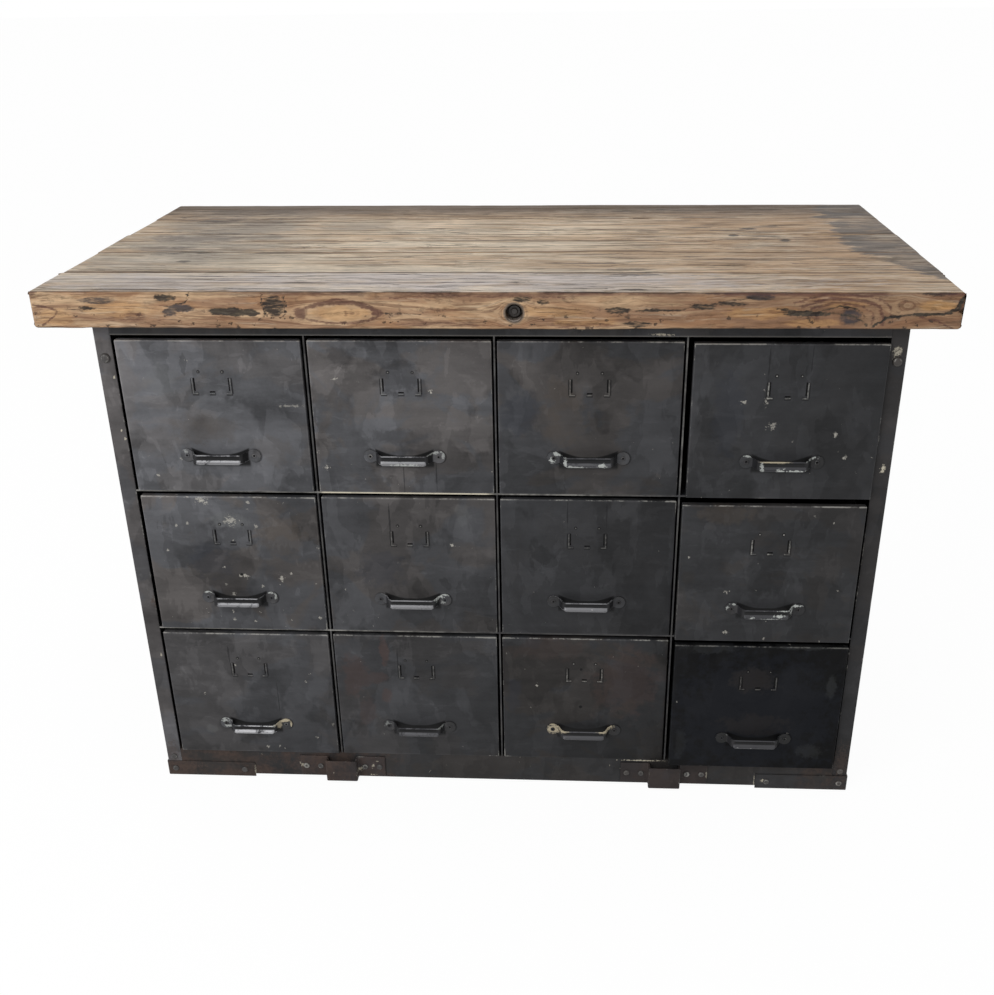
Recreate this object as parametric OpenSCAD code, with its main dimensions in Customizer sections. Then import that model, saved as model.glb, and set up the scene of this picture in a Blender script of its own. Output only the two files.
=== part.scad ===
// Twelve-drawer steel cabinet with a plank worktop, in millimetres
// The front faces -Y and Z is up. The origin is on the floor under the middle of the worktop.

/* [Worktop] */
// Length of the worktop, left to right
top_w = 1404; // [1380:1:1600]
// Depth of the worktop, front to back
top_d = 755; // [730:1:900]
// Thickness of the planks
top_t = 58.5; // [50:0.5:80]
// Number of planks, front to back
plank_count = 5; // [3:1:7]
// Width of the front plank, the rest share what is left
front_plank_w = 127; // [80:1:200]
// Gap between neighbouring planks
plank_gap = 1.5; // [0.5:0.5:6]
// Chamfer along the long edges of a plank
plank_chamfer = 2; // [0.5:0.5:6]
// Overhang past the left posts
over_left = 73; // [20:1:110]
// Overhang past the right posts
over_right = 61; // [20:1:110]
// Overhang past the front posts
over_front = 40; // [40:1:70]
// Overhang past the back posts
over_back = 35; // [20:1:70]

/* [Tie rod] */
// Place of the tie rod, right of the worktop's middle
tie_x = 40; // [-500:1:500]
// Height of the tie rod over the underside of the planks
tie_up = 26; // [18:0.5:30]
// Diameter of the tie rod
tie_d = 10; // [6:0.5:14]
// Clearance of the tie rod in its hole, on the diameter
tie_fit = 1; // [0.5:0.5:3]
// Diameter of the counterbore at each end of the tie rod
cbore_d = 26; // [24:0.5:34]
// Depth of the counterbore
cbore_depth = 22; // [18:1:40]
// Clearance of the washer in the counterbore, on the diameter
washer_fit = 3; // [1:0.5:5]
// Thickness of the washer
washer_t = 2; // [1:0.5:3]
// Width of the nut across its flats
nut_af = 17; // [15:0.5:19]
// Height of the nut
nut_h = 8; // [5:0.5:10]
// Length of rod that stands out of the nut
rod_stub = 3; // [1:0.5:5]

/* [Carcass] */
// Height of the carcass, floor to underside of the planks
cab_h = 872; // [760:1:1000]
// Face width of a corner post
post_w = 26.5; // [20:0.5:45]
// Thickness of the posts and the top frame
post_t = 3; // [2:0.5:5]
// Height of the plinth
plinth_h = 58; // [50:1:120]
// Clearance from the floor to the lower edge of the plinth's skirt
skirt_up = 5; // [1:0.5:6]
// Thickness of the base pan
base_t = 2.5; // [1.5:0.5:4]
// Width of the base pan's turned-in flange
base_flange = 25; // [10:1:60]
// How much wider the outer bays are than the inner ones
outer_more = 8.5; // [0:0.5:20]
// Thickness of the shelves and dividers
grid_t = 2.5; // [1.5:0.5:4]
// Clearance round a sheet in its cross-halving slot
slot_fit = 0.2; // [0.1:0.1:1]
// Thickness of the side and back panels
panel_t = 1.5; // [1:0.5:3]
// Height of the top rail
rail_h = 20.5; // [15:0.5:50]
// Width of the top frame's flat ring
ring_w = 28; // [15:1:60]

/* [Drawers] */
// How far the upper drawers stand open, left to right
ajar_upper = [2, 0, 0, 9]; // [0:1:16]
// How far the middle drawers stand open, left to right
ajar_middle = [2, 0, 0, 16]; // [0:1:16]
// How far the lower drawers stand open, left to right
ajar_lower = [2, 0, 0, 16]; // [0:1:16]
// How far the upper drawers have crept to the right in their bays
creep_upper = [1.5, 0, 0, 2.5]; // [-3:0.5:3]
// How far the middle drawers have crept to the right in their bays
creep_middle = [2.5, 0.5, 0.5, -2.5]; // [-3:0.5:3]
// How far the lower drawers have crept to the right in their bays
creep_lower = [1.5, -1, 0, -1]; // [-3:0.5:3]
// Sheet thickness of a drawer front
front_t = 1.5; // [1:0.5:3]
// Depth of a front's folded edges
front_fold = 12; // [5:1:25]
// How far a closed front stands proud of the posts
front_proud = 1; // [0:0.5:1]
// Gap under a front, over the shelf
front_gap = 0.6; // [0.4:0.1:3]
// Gap over a front, under the next shelf
head_gap = 7.4; // [2:0.2:20]
// Gap from an outer drawer to its post
gap_post = 4; // [1:0.5:8]
// Gap from an outer drawer to its divider
gap_outer = 6; // [1:0.5:12]
// Gap from an inner drawer to each divider
gap_inner = 3.2; // [1:0.1:8]
// Sheet thickness of a tray
tray_t = 1.2; // [0.8:0.1:2]
// Clearance from a tray to the folds of its front
tray_fit = 0.2; // [0.1:0.1:1]
// How far a tray's rim lies under the top of its front
tray_drop = 18; // [6:1:120]
// Depth of the hem folded in along a tray's rim
hem_h = 8; // [3:1:20]
// Running gap between a tray and its shelf
slide_gap = 0.3; // [0.2:0.1:1]
// Gap from the back of a closed tray to the back panel
back_gap = 35; // [5:1:200]

/* [Pulls] */
// Height of the pull's ears over the lower edge of the front
pull_up = 64; // [30:1:120]
// Distance from the pull's middle to the middle of an ear
ear_x = 56; // [50:0.5:80]
// Diameter of an ear
ear_d = 22; // [16:0.5:28]
// Sheet thickness of a pull
pull_t = 2; // [1.5:0.5:3]
// Distance from the pull's middle to the foot of a leg
leg_x = 46; // [42:0.5:48]
// Half the length of the grip, bend to bend
grip_x = 39; // [38:0.5:41]
// Half the length of the trough pressed along the grip
trough_x = 36; // [20:0.5:37]
// How far the grip stands out from the drawer front
grip_out = 18; // [14:0.5:19]
// Height of a leg over the ears' middle
leg_up = 7; // [4:0.5:10]
// Height of a leg under the ears' middle
leg_down = 8; // [6:0.5:10]
// Inner radius of the trough
trough_r = 8; // [5:0.5:9]
// How far round the trough's lower lip goes, in degrees
lip_deg = 65; // [40:1:80]
// How far round the trough's upper brow goes, in degrees
brow_deg = 45; // [20:1:60]
// Diameter of an ear's rivet head
ear_rivet_d = 9; // [5:0.5:14]
// Height of an ear's rivet head
ear_rivet_h = 2; // [1:0.5:3]

/* [Label tabs] */
// Distance from the top of a front to the middle of its label
label_down = 69; // [40:1:90]
// Width of the label space
label_w = 64; // [40:1:90]
// Height of the label space
label_h = 38; // [20:1:60]
// Width of a label tab
tab_w = 2.4; // [1.5:0.1:4]
// Height of a side tab
tab_h = 27; // [10:1:36]
// Length of a tab's foot
tab_foot = 9; // [5:0.5:15]
// How far a tab stands out of the front
tab_out = 1.6; // [0.8:0.1:3]
// Width of the slot that a tab leaves
tab_slot = 2.6; // [1:0.1:4]

/* [Sockets] */
// Distance from a socket's edge to the plinth's edge
socket_margin = 7; // [3:0.5:12]
// Thickness of the socket strap
socket_t = 3; // [2:0.5:5]
// Outer width of the socket
socket_w = 58; // [40:1:70]
// How far the socket stands out from the plinth
socket_out = 20; // [12:0.5:35]
// Length of a strap's flange
socket_flange = 51; // [40:1:70]
// Distance from the flange's foot to its first rivet
socket_rivet_in = 13; // [9:0.5:18]
// Distance between a flange's two rivets
socket_rivet_pitch = 27; // [16:0.5:30]

/* [Corner plates] */
// Height of a corner plate
corner_h = 31; // [20:1:40]
// Thickness of a corner plate
corner_t = 2; // [1:0.5:4]
// Length of a corner plate along the front
corner_front = 166; // [60:1:200]
// Length of a corner plate along the side
corner_side = 60; // [30:1:160]
// Distance from a plate's inner end to its rivet
corner_rivet_in = 20; // [8:1:40]

/* [Fixings] */
// Diameter of the bolt head on a post
bolt_d = 16; // [10:0.5:19]
// Height of the bolt head
bolt_h = 5; // [2:0.5:8]
// Distance from the underside of the planks to the bolt
bolt_down = 58; // [30:1:120]
// Diameter of a rivet head on the plinth
rivet_d = 12; // [8:0.5:15]
// Height of a rivet head
rivet_h = 3; // [1.5:0.5:5]
// Height of a post's foot rivet over the corner plate
foot_rivet_up = 10; // [8:0.5:60]

/* [Hidden] */
$fn = 64;
rows = 3;
cols = 4;
steel = [0.27, 0.27, 0.28];
post_grey = [0.31, 0.30, 0.28];
plinth_brown = [0.26, 0.23, 0.21];
bright = [0.55, 0.55, 0.54];
timber = [0.58, 0.45, 0.31];

// Outer faces of the carcass
cab_w = top_w - over_left - over_right;
cab_d = top_d - over_front - over_back;
xl = over_left - top_w / 2;
xr = xl + cab_w;
yf = over_front - top_d / 2;
yb = yf + cab_d;
// Heights of the carcass
z_wood = cab_h;
z_rail = z_wood - rail_h;
panel_h = z_wood - post_t - plinth_h;
// Inner faces of the panels, and the line where shelves and dividers are halved
x_in = xl + post_t + panel_t;
y_back = yb - post_t - panel_t;
y_half = (yf + y_back) / 2;
// Distance from one shelf to the next, and from one divider to the next
row_pitch = (z_rail - plinth_h) / rows;
col_pitch = (cab_w - 2 * (post_w + outer_more)) / cols;
// Sizes of a tray that follow from its bay
tray_h = front_h(rows) - tray_drop;
tray_d = y_back - back_gap - (yf - front_proud + front_t);
// Distance from one back plank to the next, and the height of the sockets
plank_pitch = (top_d - front_plank_w) / (plank_count - 1);
socket_h = plinth_h - 2 * socket_margin;
// Rest places of the drawers, row by row, and the least gap left beside one
ajar = [ajar_upper, ajar_middle, ajar_lower];
creep = [creep_upper, creep_middle, creep_lower];
least_gap = 0.5;
// Overlap that lets one shape cut cleanly through another
cut = 1;

function div_x(i) = (xl + xr) / 2 + (i - cols / 2) * col_pitch;
function shelf_z(r) = plinth_h + (rows - r) * row_pitch;
function bay_l(c) = c == 1 ? xl + post_w : div_x(c - 1) + grid_t / 2;
function bay_r(c) = c == cols ? xr - post_w : div_x(c) - grid_t / 2;
function gap_l(c) = c == 1 ? gap_post : c == cols ? gap_outer : gap_inner;
function gap_r(c) = c == 1 ? gap_outer : c == cols ? gap_post : gap_inner;
function front_h(r) = row_pitch - front_gap - head_gap - (r == 1 ? 0 : grid_t);
function front_l(c) = bay_l(c) + gap_l(c);
function front_w(c) = bay_r(c) - gap_r(c) - front_l(c);
function crept(r, c) = max(least_gap - gap_l(c), min(gap_r(c) - least_gap, creep[r - 1][c - 1]));
function front_mid(r, c) = front_l(c) + front_w(c) / 2 + crept(r, c);
function face_y(r, c) = yf - front_proud - ajar[r - 1][c - 1];
function plank_y(i) = i == 1 ? -top_d / 2 : top_d / 2 - (plank_count + 1 - i) * plank_pitch + plank_gap;
function plank_wide(i) = i == 1 ? front_plank_w : plank_pitch - plank_gap;

// Shared shapes

// Steel angle with its outer corner at the origin
module angle2d() {
    polygon([[0, 0], [post_w, 0], [post_w, post_t], [post_t, post_t], [post_t, post_w], [0, post_w]]);
}

// Puts a flat shape at each corner of the carcass, turned to face inwards
module at_corners() {
    translate([xl, yf]) children();
    translate([xr, yf]) rotate(90) children();
    translate([xr, yb]) rotate(180) children();
    translate([xl, yb]) rotate(270) children();
}

// Plan of the carcass, drawn in by an inset
module plan2d(inset = 0) {
    translate([xl + inset, yf + inset]) square([cab_w - 2 * inset, cab_d - 2 * inset]);
}

// Four strips round the plan, from post to post
module rim2d(width) {
    difference() {
        plan2d();
        plan2d(width);
        at_corners() square(post_w);
    }
}

// Domed head that sits on a face and points to the front
module dome(d, h) {
    ball_r = (d * d / 4 + h * h) / (2 * h);
    rotate([90, 0, 0]) intersection() {
        translate([0, 0, h - ball_r]) sphere(ball_r);
        cylinder(d = d + cut, h = h + cut);
    }
}

// Worktop

module plank(i) {
    wide = plank_wide(i);
    far = wide - plank_chamfer;
    high = top_t - plank_chamfer;
    profile = [[plank_chamfer, 0], [far, 0], [wide, plank_chamfer], [wide, high],
        [far, top_t], [plank_chamfer, top_t], [0, high], [0, plank_chamfer]];
    color(timber) difference() {
        translate([-top_w / 2, plank_y(i), z_wood]) rotate([90, 0, 90])
            linear_extrude(top_w) polygon(profile);
        translate([tie_x, plank_y(i) - cut, z_wood + tie_up]) rotate([-90, 0, 0])
            cylinder(d = tie_d + tie_fit, h = wide + 2 * cut);
        if (i == 1) {
            translate([tie_x, -top_d / 2 - cut, z_wood + tie_up]) rotate([-90, 0, 0])
                cylinder(d = cbore_d, h = cbore_depth + cut);
        }
        if (i == plank_count) {
            translate([tie_x, top_d / 2 + cut, z_wood + tie_up]) rotate([90, 0, 0])
                cylinder(d = cbore_d, h = cbore_depth + cut);
        }
    }
}

// Carcass

module post(turn, x, y) {
    color(post_grey) translate([x, y, 0]) rotate(turn) linear_extrude(z_wood) angle2d();
}

module top_frame() {
    color(steel) {
        translate([0, 0, z_wood - post_t]) linear_extrude(post_t) difference() {
            plan2d();
            plan2d(ring_w);
            at_corners() angle2d();
        }
        translate([0, 0, z_rail]) linear_extrude(rail_h - post_t) rim2d(post_t);
    }
}

module base_pan() {
    color(plinth_brown) {
        translate([0, 0, plinth_h - base_t]) linear_extrude(base_t) difference() {
            plan2d();
            at_corners() angle2d();
        }
        translate([0, 0, skirt_up]) linear_extrude(plinth_h - base_t - skirt_up) rim2d(base_t);
        translate([0, 0, skirt_up]) linear_extrude(base_t) rim2d(base_flange);
    }
}

module side_panel(x) {
    color(steel) translate([x, yf + post_t, plinth_h]) cube([panel_t, cab_d - 2 * post_t, panel_h]);
}

module back_panel() {
    color(steel) translate([x_in, y_back, plinth_h])
        cube([cab_w - 2 * (x_in - xl), panel_t, panel_h]);
}

// Upright sheet, slotted from the front to take the shelves
module divider(i) {
    slot_h = grid_t + 2 * slot_fit;
    color(steel) difference() {
        translate([div_x(i) - grid_t / 2, yf, plinth_h])
            cube([grid_t, y_back - yf, z_rail - plinth_h]);
        for (r = [1 : rows - 1]) {
            translate([div_x(i) - grid_t, yf - cut, shelf_z(r) - grid_t - slot_fit])
                cube([2 * grid_t, y_half - yf + cut + slot_fit, slot_h]);
        }
    }
}

// Flat sheet, slotted from the back to go over the dividers
module shelf(r) {
    slot_w = grid_t + 2 * slot_fit;
    color(steel) translate([0, 0, shelf_z(r) - grid_t]) linear_extrude(grid_t) difference() {
        union() {
            translate([x_in, yf + post_t]) square([cab_w - 2 * (x_in - xl), y_back - yf - post_t]);
            translate([xl + post_w, yf]) square([cab_w - 2 * post_w, post_t]);
        }
        for (i = [1 : cols - 1]) {
            translate([div_x(i) - slot_w / 2, y_half - slot_fit])
                square([slot_w, y_back - y_half + slot_fit + cut]);
        }
    }
}

// Strap bent to a hat shape, open above and below
module socket(i) {
    inside = socket_w / 2 - socket_t;
    outside = socket_w / 2;
    flange_end = outside + socket_flange;
    color(plinth_brown) translate([div_x(i), yf, socket_margin]) linear_extrude(socket_h) polygon([
        [-flange_end, 0], [-inside, 0], [-inside, socket_t - socket_out],
        [inside, socket_t - socket_out], [inside, 0], [flange_end, 0],
        [flange_end, -socket_t], [outside, -socket_t], [outside, -socket_out],
        [-outside, -socket_out], [-outside, -socket_t], [-flange_end, -socket_t]]);
}

module corner_plate(x, way) {
    outline = [[-corner_t, -corner_t], [corner_front, -corner_t], [corner_front, 0], [0, 0],
        [0, corner_side], [-corner_t, corner_side]];
    color(plinth_brown) translate([x, yf, 0]) linear_extrude(corner_h)
        polygon([for (p = outline) [way * p[0], p[1]]]);
}

// Rod that draws the planks together, with a washer and a nut in each counterbore
module tie_rod() {
    reach = top_d / 2 - cbore_depth;
    for (turn = [0, 180]) {
        translate([tie_x, 0, z_wood + tie_up]) rotate([90, 0, turn]) translate([0, 0, reach]) {
            cylinder(d = cbore_d - washer_fit, h = washer_t);
            translate([0, 0, washer_t]) cylinder(d = nut_af / cos(30), h = nut_h, $fn = 6);
        }
    }
    rod_half = reach + washer_t + nut_h + rod_stub;
    translate([tie_x, rod_half, z_wood + tie_up]) rotate([90, 0, 0])
        cylinder(d = tie_d, h = 2 * rod_half);
}

module fixings() {
    rivet_first = socket_w / 2 + socket_rivet_in;
    corner_mid = corner_h / 2;
    color(bright) {
        tie_rod();
        for (way = [-1, 1]) {
            edge = way < 0 ? xl : xr;
            post_mid = edge - way * post_w / 2;
            translate([post_mid, yf, z_wood - bolt_down]) dome(bolt_d, bolt_h);
            translate([post_mid, yf, corner_h + foot_rivet_up]) dome(rivet_d, rivet_h);
            translate([post_mid, yf - corner_t, corner_mid]) dome(rivet_d, rivet_h);
            translate([edge - way * (corner_front - corner_rivet_in), yf - corner_t, corner_mid])
                dome(rivet_d, rivet_h);
            for (i = [1, cols - 1], n = [0, 1]) {
                off = rivet_first + n * socket_rivet_pitch;
                translate([div_x(i) + way * off, yf - socket_t, plinth_h / 2]) dome(rivet_d, rivet_h);
            }
        }
    }
}

// Drawers

// Moves a piece from the middle of a front's lower edge to its bay
module in_bay(r, c) {
    translate([front_mid(r, c), face_y(r, c), shelf_z(r) + front_gap]) children();
}

module tray(r, c) {
    width = front_w(c) - 2 * (front_t + tray_fit);
    color(steel) in_bay(r, c) translate([-width / 2, front_t, slide_gap - front_gap]) difference() {
        cube([width, tray_d, tray_h]);
        translate([tray_t, tray_t, tray_t])
            cube([width - 2 * tray_t, tray_d - 2 * tray_t, tray_h - hem_h - tray_t]);
        translate([2 * tray_t, 2 * tray_t, tray_t])
            cube([width - 4 * tray_t, tray_d - 4 * tray_t, tray_h]);
    }
}

// Tabs that hold a label: an L at each side and one in the middle of the lower edge
module label_tabs() {
    side = label_w / 2;
    low = -label_h / 2;
    for (way = [-1, 1]) {
        outline = [[side, low], [side, low + tab_h], [side - tab_w, low + tab_h],
            [side - tab_w, low + tab_w], [side - tab_foot, low + tab_w], [side - tab_foot, low]];
        rotate([90, 0, 0]) linear_extrude(tab_out) polygon([for (p = outline) [way * p[0], p[1]]]);
    }
    translate([-tab_foot / 2, -tab_out, low]) cube([tab_foot, tab_out, tab_w]);
}

// Slots in the sheet that the tabs were bent out of
module label_slots() {
    side = label_w / 2 - tab_w;
    low = tab_w - label_h / 2;
    for (way = [-1, 1]) {
        translate([way * (side - tab_slot / 2) - tab_slot / 2, -cut, low + tab_slot])
            cube([tab_slot, front_t + 2 * cut, tab_h - tab_w - tab_slot]);
    }
    translate([-tab_foot / 2, -cut, low]) cube([tab_foot, front_t + 2 * cut, tab_slot]);
}

module front(r, c) {
    width = front_w(c);
    high = front_h(r);
    color(steel) in_bay(r, c) difference() {
        union() {
            translate([-width / 2, 0, 0]) cube([width, front_t, high]);
            translate([-width / 2, 0, high - front_t]) cube([width, front_fold, front_t]);
            translate([-width / 2, 0, 0]) cube([front_t, front_fold, high]);
            translate([width / 2 - front_t, 0, 0]) cube([front_t, front_fold, high]);
            translate([0, 0, high - label_down]) label_tabs();
        }
        translate([0, 0, high - label_down]) label_slots();
    }
}

// Strap seen from above: ears, legs and the flat of the grip
module strap2d() {
    polygon([
        [-ear_x, 0], [-leg_x, 0], [-grip_x, pull_t - grip_out], [grip_x, pull_t - grip_out],
        [leg_x, 0], [ear_x, 0], [ear_x, -pull_t], [leg_x + pull_t, -pull_t],
        [grip_x + pull_t, -grip_out], [-grip_x - pull_t, -grip_out],
        [-leg_x - pull_t, -pull_t], [-ear_x, -pull_t]]);
}

// Trough of the grip, open to the front, drawn as a piece of ring in the side view
module trough2d() {
    reach = 2 * (trough_r + pull_t);
    translate([-trough_r, 0]) intersection() {
        difference() {
            circle(trough_r + pull_t);
            circle(trough_r);
        }
        polygon([[0, 0], [reach * cos(lip_deg), -reach * sin(lip_deg)], [reach, 0],
            [reach * cos(brow_deg), reach * sin(brow_deg)]]);
    }
}

module pull(r, c) {
    color(bright) in_bay(r, c) translate([0, 0, pull_up]) {
        for (way = [-1, 1]) {
            translate([way * ear_x, 0, 0]) rotate([90, 0, 0]) cylinder(d = ear_d, h = pull_t);
            translate([way * ear_x, -pull_t, 0]) dome(ear_rivet_d, ear_rivet_h);
        }
        difference() {
            translate([0, 0, -leg_down]) linear_extrude(leg_down + leg_up) strap2d();
            translate([-trough_x, -grip_out - cut, -leg_down - cut])
                cube([2 * trough_x, pull_t + 2 * cut, leg_down + leg_up + 2 * cut]);
        }
        translate([-trough_x, -grip_out, 0]) rotate([90, 0, 90]) linear_extrude(2 * trough_x) trough2d();
    }
}

for (i = [1 : plank_count]) {
    plank(i);
}
post(0, xl, yf);  // post_front_left
post(90, xr, yf);  // post_front_right
post(180, xr, yb);  // post_back_right
post(270, xl, yb);  // post_back_left
top_frame();
base_pan();
side_panel(xl + post_t);  // side_left
side_panel(xr - post_t - panel_t);  // side_right
back_panel();
for (i = [1 : cols - 1]) {
    divider(i);
}
shelf(1);  // shelf_upper
shelf(rows - 1);  // shelf_lower
socket(1);  // socket_left
socket(cols - 1);  // socket_right
corner_plate(xl, 1);  // corner_plate_left
corner_plate(xr, -1);  // corner_plate_right
fixings();
for (r = [1 : rows], c = [1 : cols]) {
    tray(r, c);
    front(r, c);
    pull(r, c);
}
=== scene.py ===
import math

import bmesh
import bpy
import numpy as np
from mathutils import Matrix, Vector, noise


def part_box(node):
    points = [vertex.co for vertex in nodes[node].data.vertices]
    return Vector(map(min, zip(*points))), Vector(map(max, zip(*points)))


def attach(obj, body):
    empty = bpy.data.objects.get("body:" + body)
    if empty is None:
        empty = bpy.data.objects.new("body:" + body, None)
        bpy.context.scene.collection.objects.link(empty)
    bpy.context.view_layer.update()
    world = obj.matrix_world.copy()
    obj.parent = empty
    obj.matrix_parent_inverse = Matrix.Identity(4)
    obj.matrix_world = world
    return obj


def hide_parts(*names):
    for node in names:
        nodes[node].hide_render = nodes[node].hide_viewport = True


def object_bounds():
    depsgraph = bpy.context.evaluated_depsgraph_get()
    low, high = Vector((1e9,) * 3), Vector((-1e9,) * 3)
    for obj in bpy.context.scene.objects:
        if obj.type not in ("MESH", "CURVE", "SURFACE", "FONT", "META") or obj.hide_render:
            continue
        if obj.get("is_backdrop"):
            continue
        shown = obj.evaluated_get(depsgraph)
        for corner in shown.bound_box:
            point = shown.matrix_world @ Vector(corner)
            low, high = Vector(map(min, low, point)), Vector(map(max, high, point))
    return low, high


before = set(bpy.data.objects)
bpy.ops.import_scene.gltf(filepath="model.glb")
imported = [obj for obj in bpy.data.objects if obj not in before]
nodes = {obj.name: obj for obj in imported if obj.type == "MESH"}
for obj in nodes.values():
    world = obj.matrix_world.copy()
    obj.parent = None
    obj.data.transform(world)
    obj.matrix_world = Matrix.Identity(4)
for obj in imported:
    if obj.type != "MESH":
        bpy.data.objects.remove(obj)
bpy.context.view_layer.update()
mm = 0.001
print("frame loaded:", len(nodes), "nodes")


def tone(r, g, b):
    # a colour as seen on screen, 0 to 255, turned to the linear value a shader takes
    return tuple((c / 255 / 12.92) if c < 11 else ((c / 255 + 0.055) / 1.055) ** 2.4 for c in (r, g, b))


# shader sums: a wire is one output of a node, and arithmetic with it adds the nodes it needs

class Wire:
    def __init__(self, socket):
        self.socket, self.tree = socket, socket.id_data

    def __add__(self, other):
        return calc("ADD", self, other)

    def __sub__(self, other):
        return calc("SUBTRACT", self, other)

    def __rsub__(self, other):
        return calc("SUBTRACT", other, self)

    def __mul__(self, other):
        return calc("MULTIPLY", self, other)

    def __pow__(self, other):
        return calc("POWER", self, other)

    def __abs__(self):
        return calc("ABSOLUTE", self)

    __radd__, __rmul__ = __add__, __mul__


def treeOf(values):
    return next(value.tree for value in values if isinstance(value, Wire))


def feed(socket, value):
    # links a wire, or sets a plain value
    if isinstance(value, Wire):
        socket.id_data.links.new(value.socket, socket)
    elif value is not None:
        socket.default_value = (*value, 1.0) if socket.type == "RGBA" and len(value) == 3 else value


def addNode(tree, kind, inputs=(), **settings):
    # inputs go by name or number, or in order
    node = tree.nodes.new(kind)
    for key, value in settings.items():
        setattr(node, key, value)
    for key, value in inputs.items() if isinstance(inputs, dict) else enumerate(inputs):
        feed(node.inputs[key], value)
    return node


def wires(node):
    return {socket.name: Wire(socket) for socket in node.outputs}


def calc(how, *values, clamp=False):
    node = addNode(treeOf(values), "ShaderNodeMath", values, operation=how, use_clamp=clamp)
    return Wire(node.outputs[0])


def most(*values):
    return calc("MAXIMUM", *values)


def least(*values):
    return calc("MINIMUM", *values)


def vector(how, *values):
    node = addNode(treeOf(values), "ShaderNodeVectorMath", values, operation=how)
    return Wire(node.outputs["Value" if how in ("LENGTH", "DISTANCE") else "Vector"])


def mixColour(fac, a, b, how="MIX"):
    inputs = {0: fac, 6: a, 7: b}
    node = addNode(treeOf((fac, a, b)), "ShaderNodeMix", inputs, data_type="RGBA", blend_type=how)
    return Wire(node.outputs[2])


def cloud(where, scale, detail=3.0, rough=0.5, warp=0.0):
    inputs = dict(Vector=where, Scale=scale, Detail=detail, Roughness=rough, Distortion=warp)
    return Wire(addNode(where.tree, "ShaderNodeTexNoise", inputs).outputs["Fac"])


def stretch(where, size, move=(0, 0, 0)):
    return vector("MULTIPLY_ADD", where, size, move)


def rise(value, lo, hi, outLo=0.0, outHi=1.0):
    # a smooth step from outLo at lo to outHi at hi
    inputs = (value, lo, hi, outLo, outHi)
    node = addNode(value.tree, "ShaderNodeMapRange", inputs, interpolation_type="SMOOTHSTEP")
    return Wire(node.outputs[0])


def split(where):
    return [Wire(socket) for socket in addNode(where.tree, "ShaderNodeSeparateXYZ", [where]).outputs]


def join(*axes):
    return Wire(addNode(treeOf(axes), "ShaderNodeCombineXYZ", axes).outputs[0])


def greyOf(level, tint=(1, 1, 1)):
    shades = [level * share for share in tint]
    if isinstance(level, Wire):
        return Wire(addNode(level.tree, "ShaderNodeCombineColor", shades).outputs[0])
    return shades


def newGroup(name, outputs, **inputs):
    # outputs are masks, but for those named Colour; an input's kind follows from its first value
    tree = bpy.data.node_groups.new(name, "ShaderNodeTree")
    kinds = {1: "NodeSocketFloat", 3: "NodeSocketVector", 4: "NodeSocketColor"}
    for label, value in inputs.items():
        kind = kinds[len(value) if isinstance(value, tuple) else 1]
        tree.interface.new_socket(label, in_out="INPUT", socket_type=kind).default_value = value
    for label in outputs:
        tree.interface.new_socket(label, in_out="OUTPUT", socket_type=kinds[4 if label == "Colour" else 1])
    return tree, wires(addNode(tree, "NodeGroupInput")), addNode(tree, "NodeGroupOutput").inputs


def useGroup(group, **values):
    return wires(addNode(treeOf(values.values()), "ShaderNodeGroup", values, node_tree=group))


# shared effects

def makeSpotMask():
    # an oval with a ragged edge: 1 inside, 0 outside
    values = dict(Vector=(0, 0, 0), Centre=(0, 0, 0), Reach=(1, 1, 1), Ragged=0.0, Soft=0.3)
    tree, inp, out = newGroup("spotMask", ["Mask"], **values)
    away = vector("DIVIDE", vector("SUBTRACT", inp["Vector"], inp["Centre"]), inp["Reach"])
    far = vector("LENGTH", away) + inp["Ragged"]
    feed(out["Mask"], rise(far, 1.0 + inp["Soft"], 1.0 - inp["Soft"]))
    return tree


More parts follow.
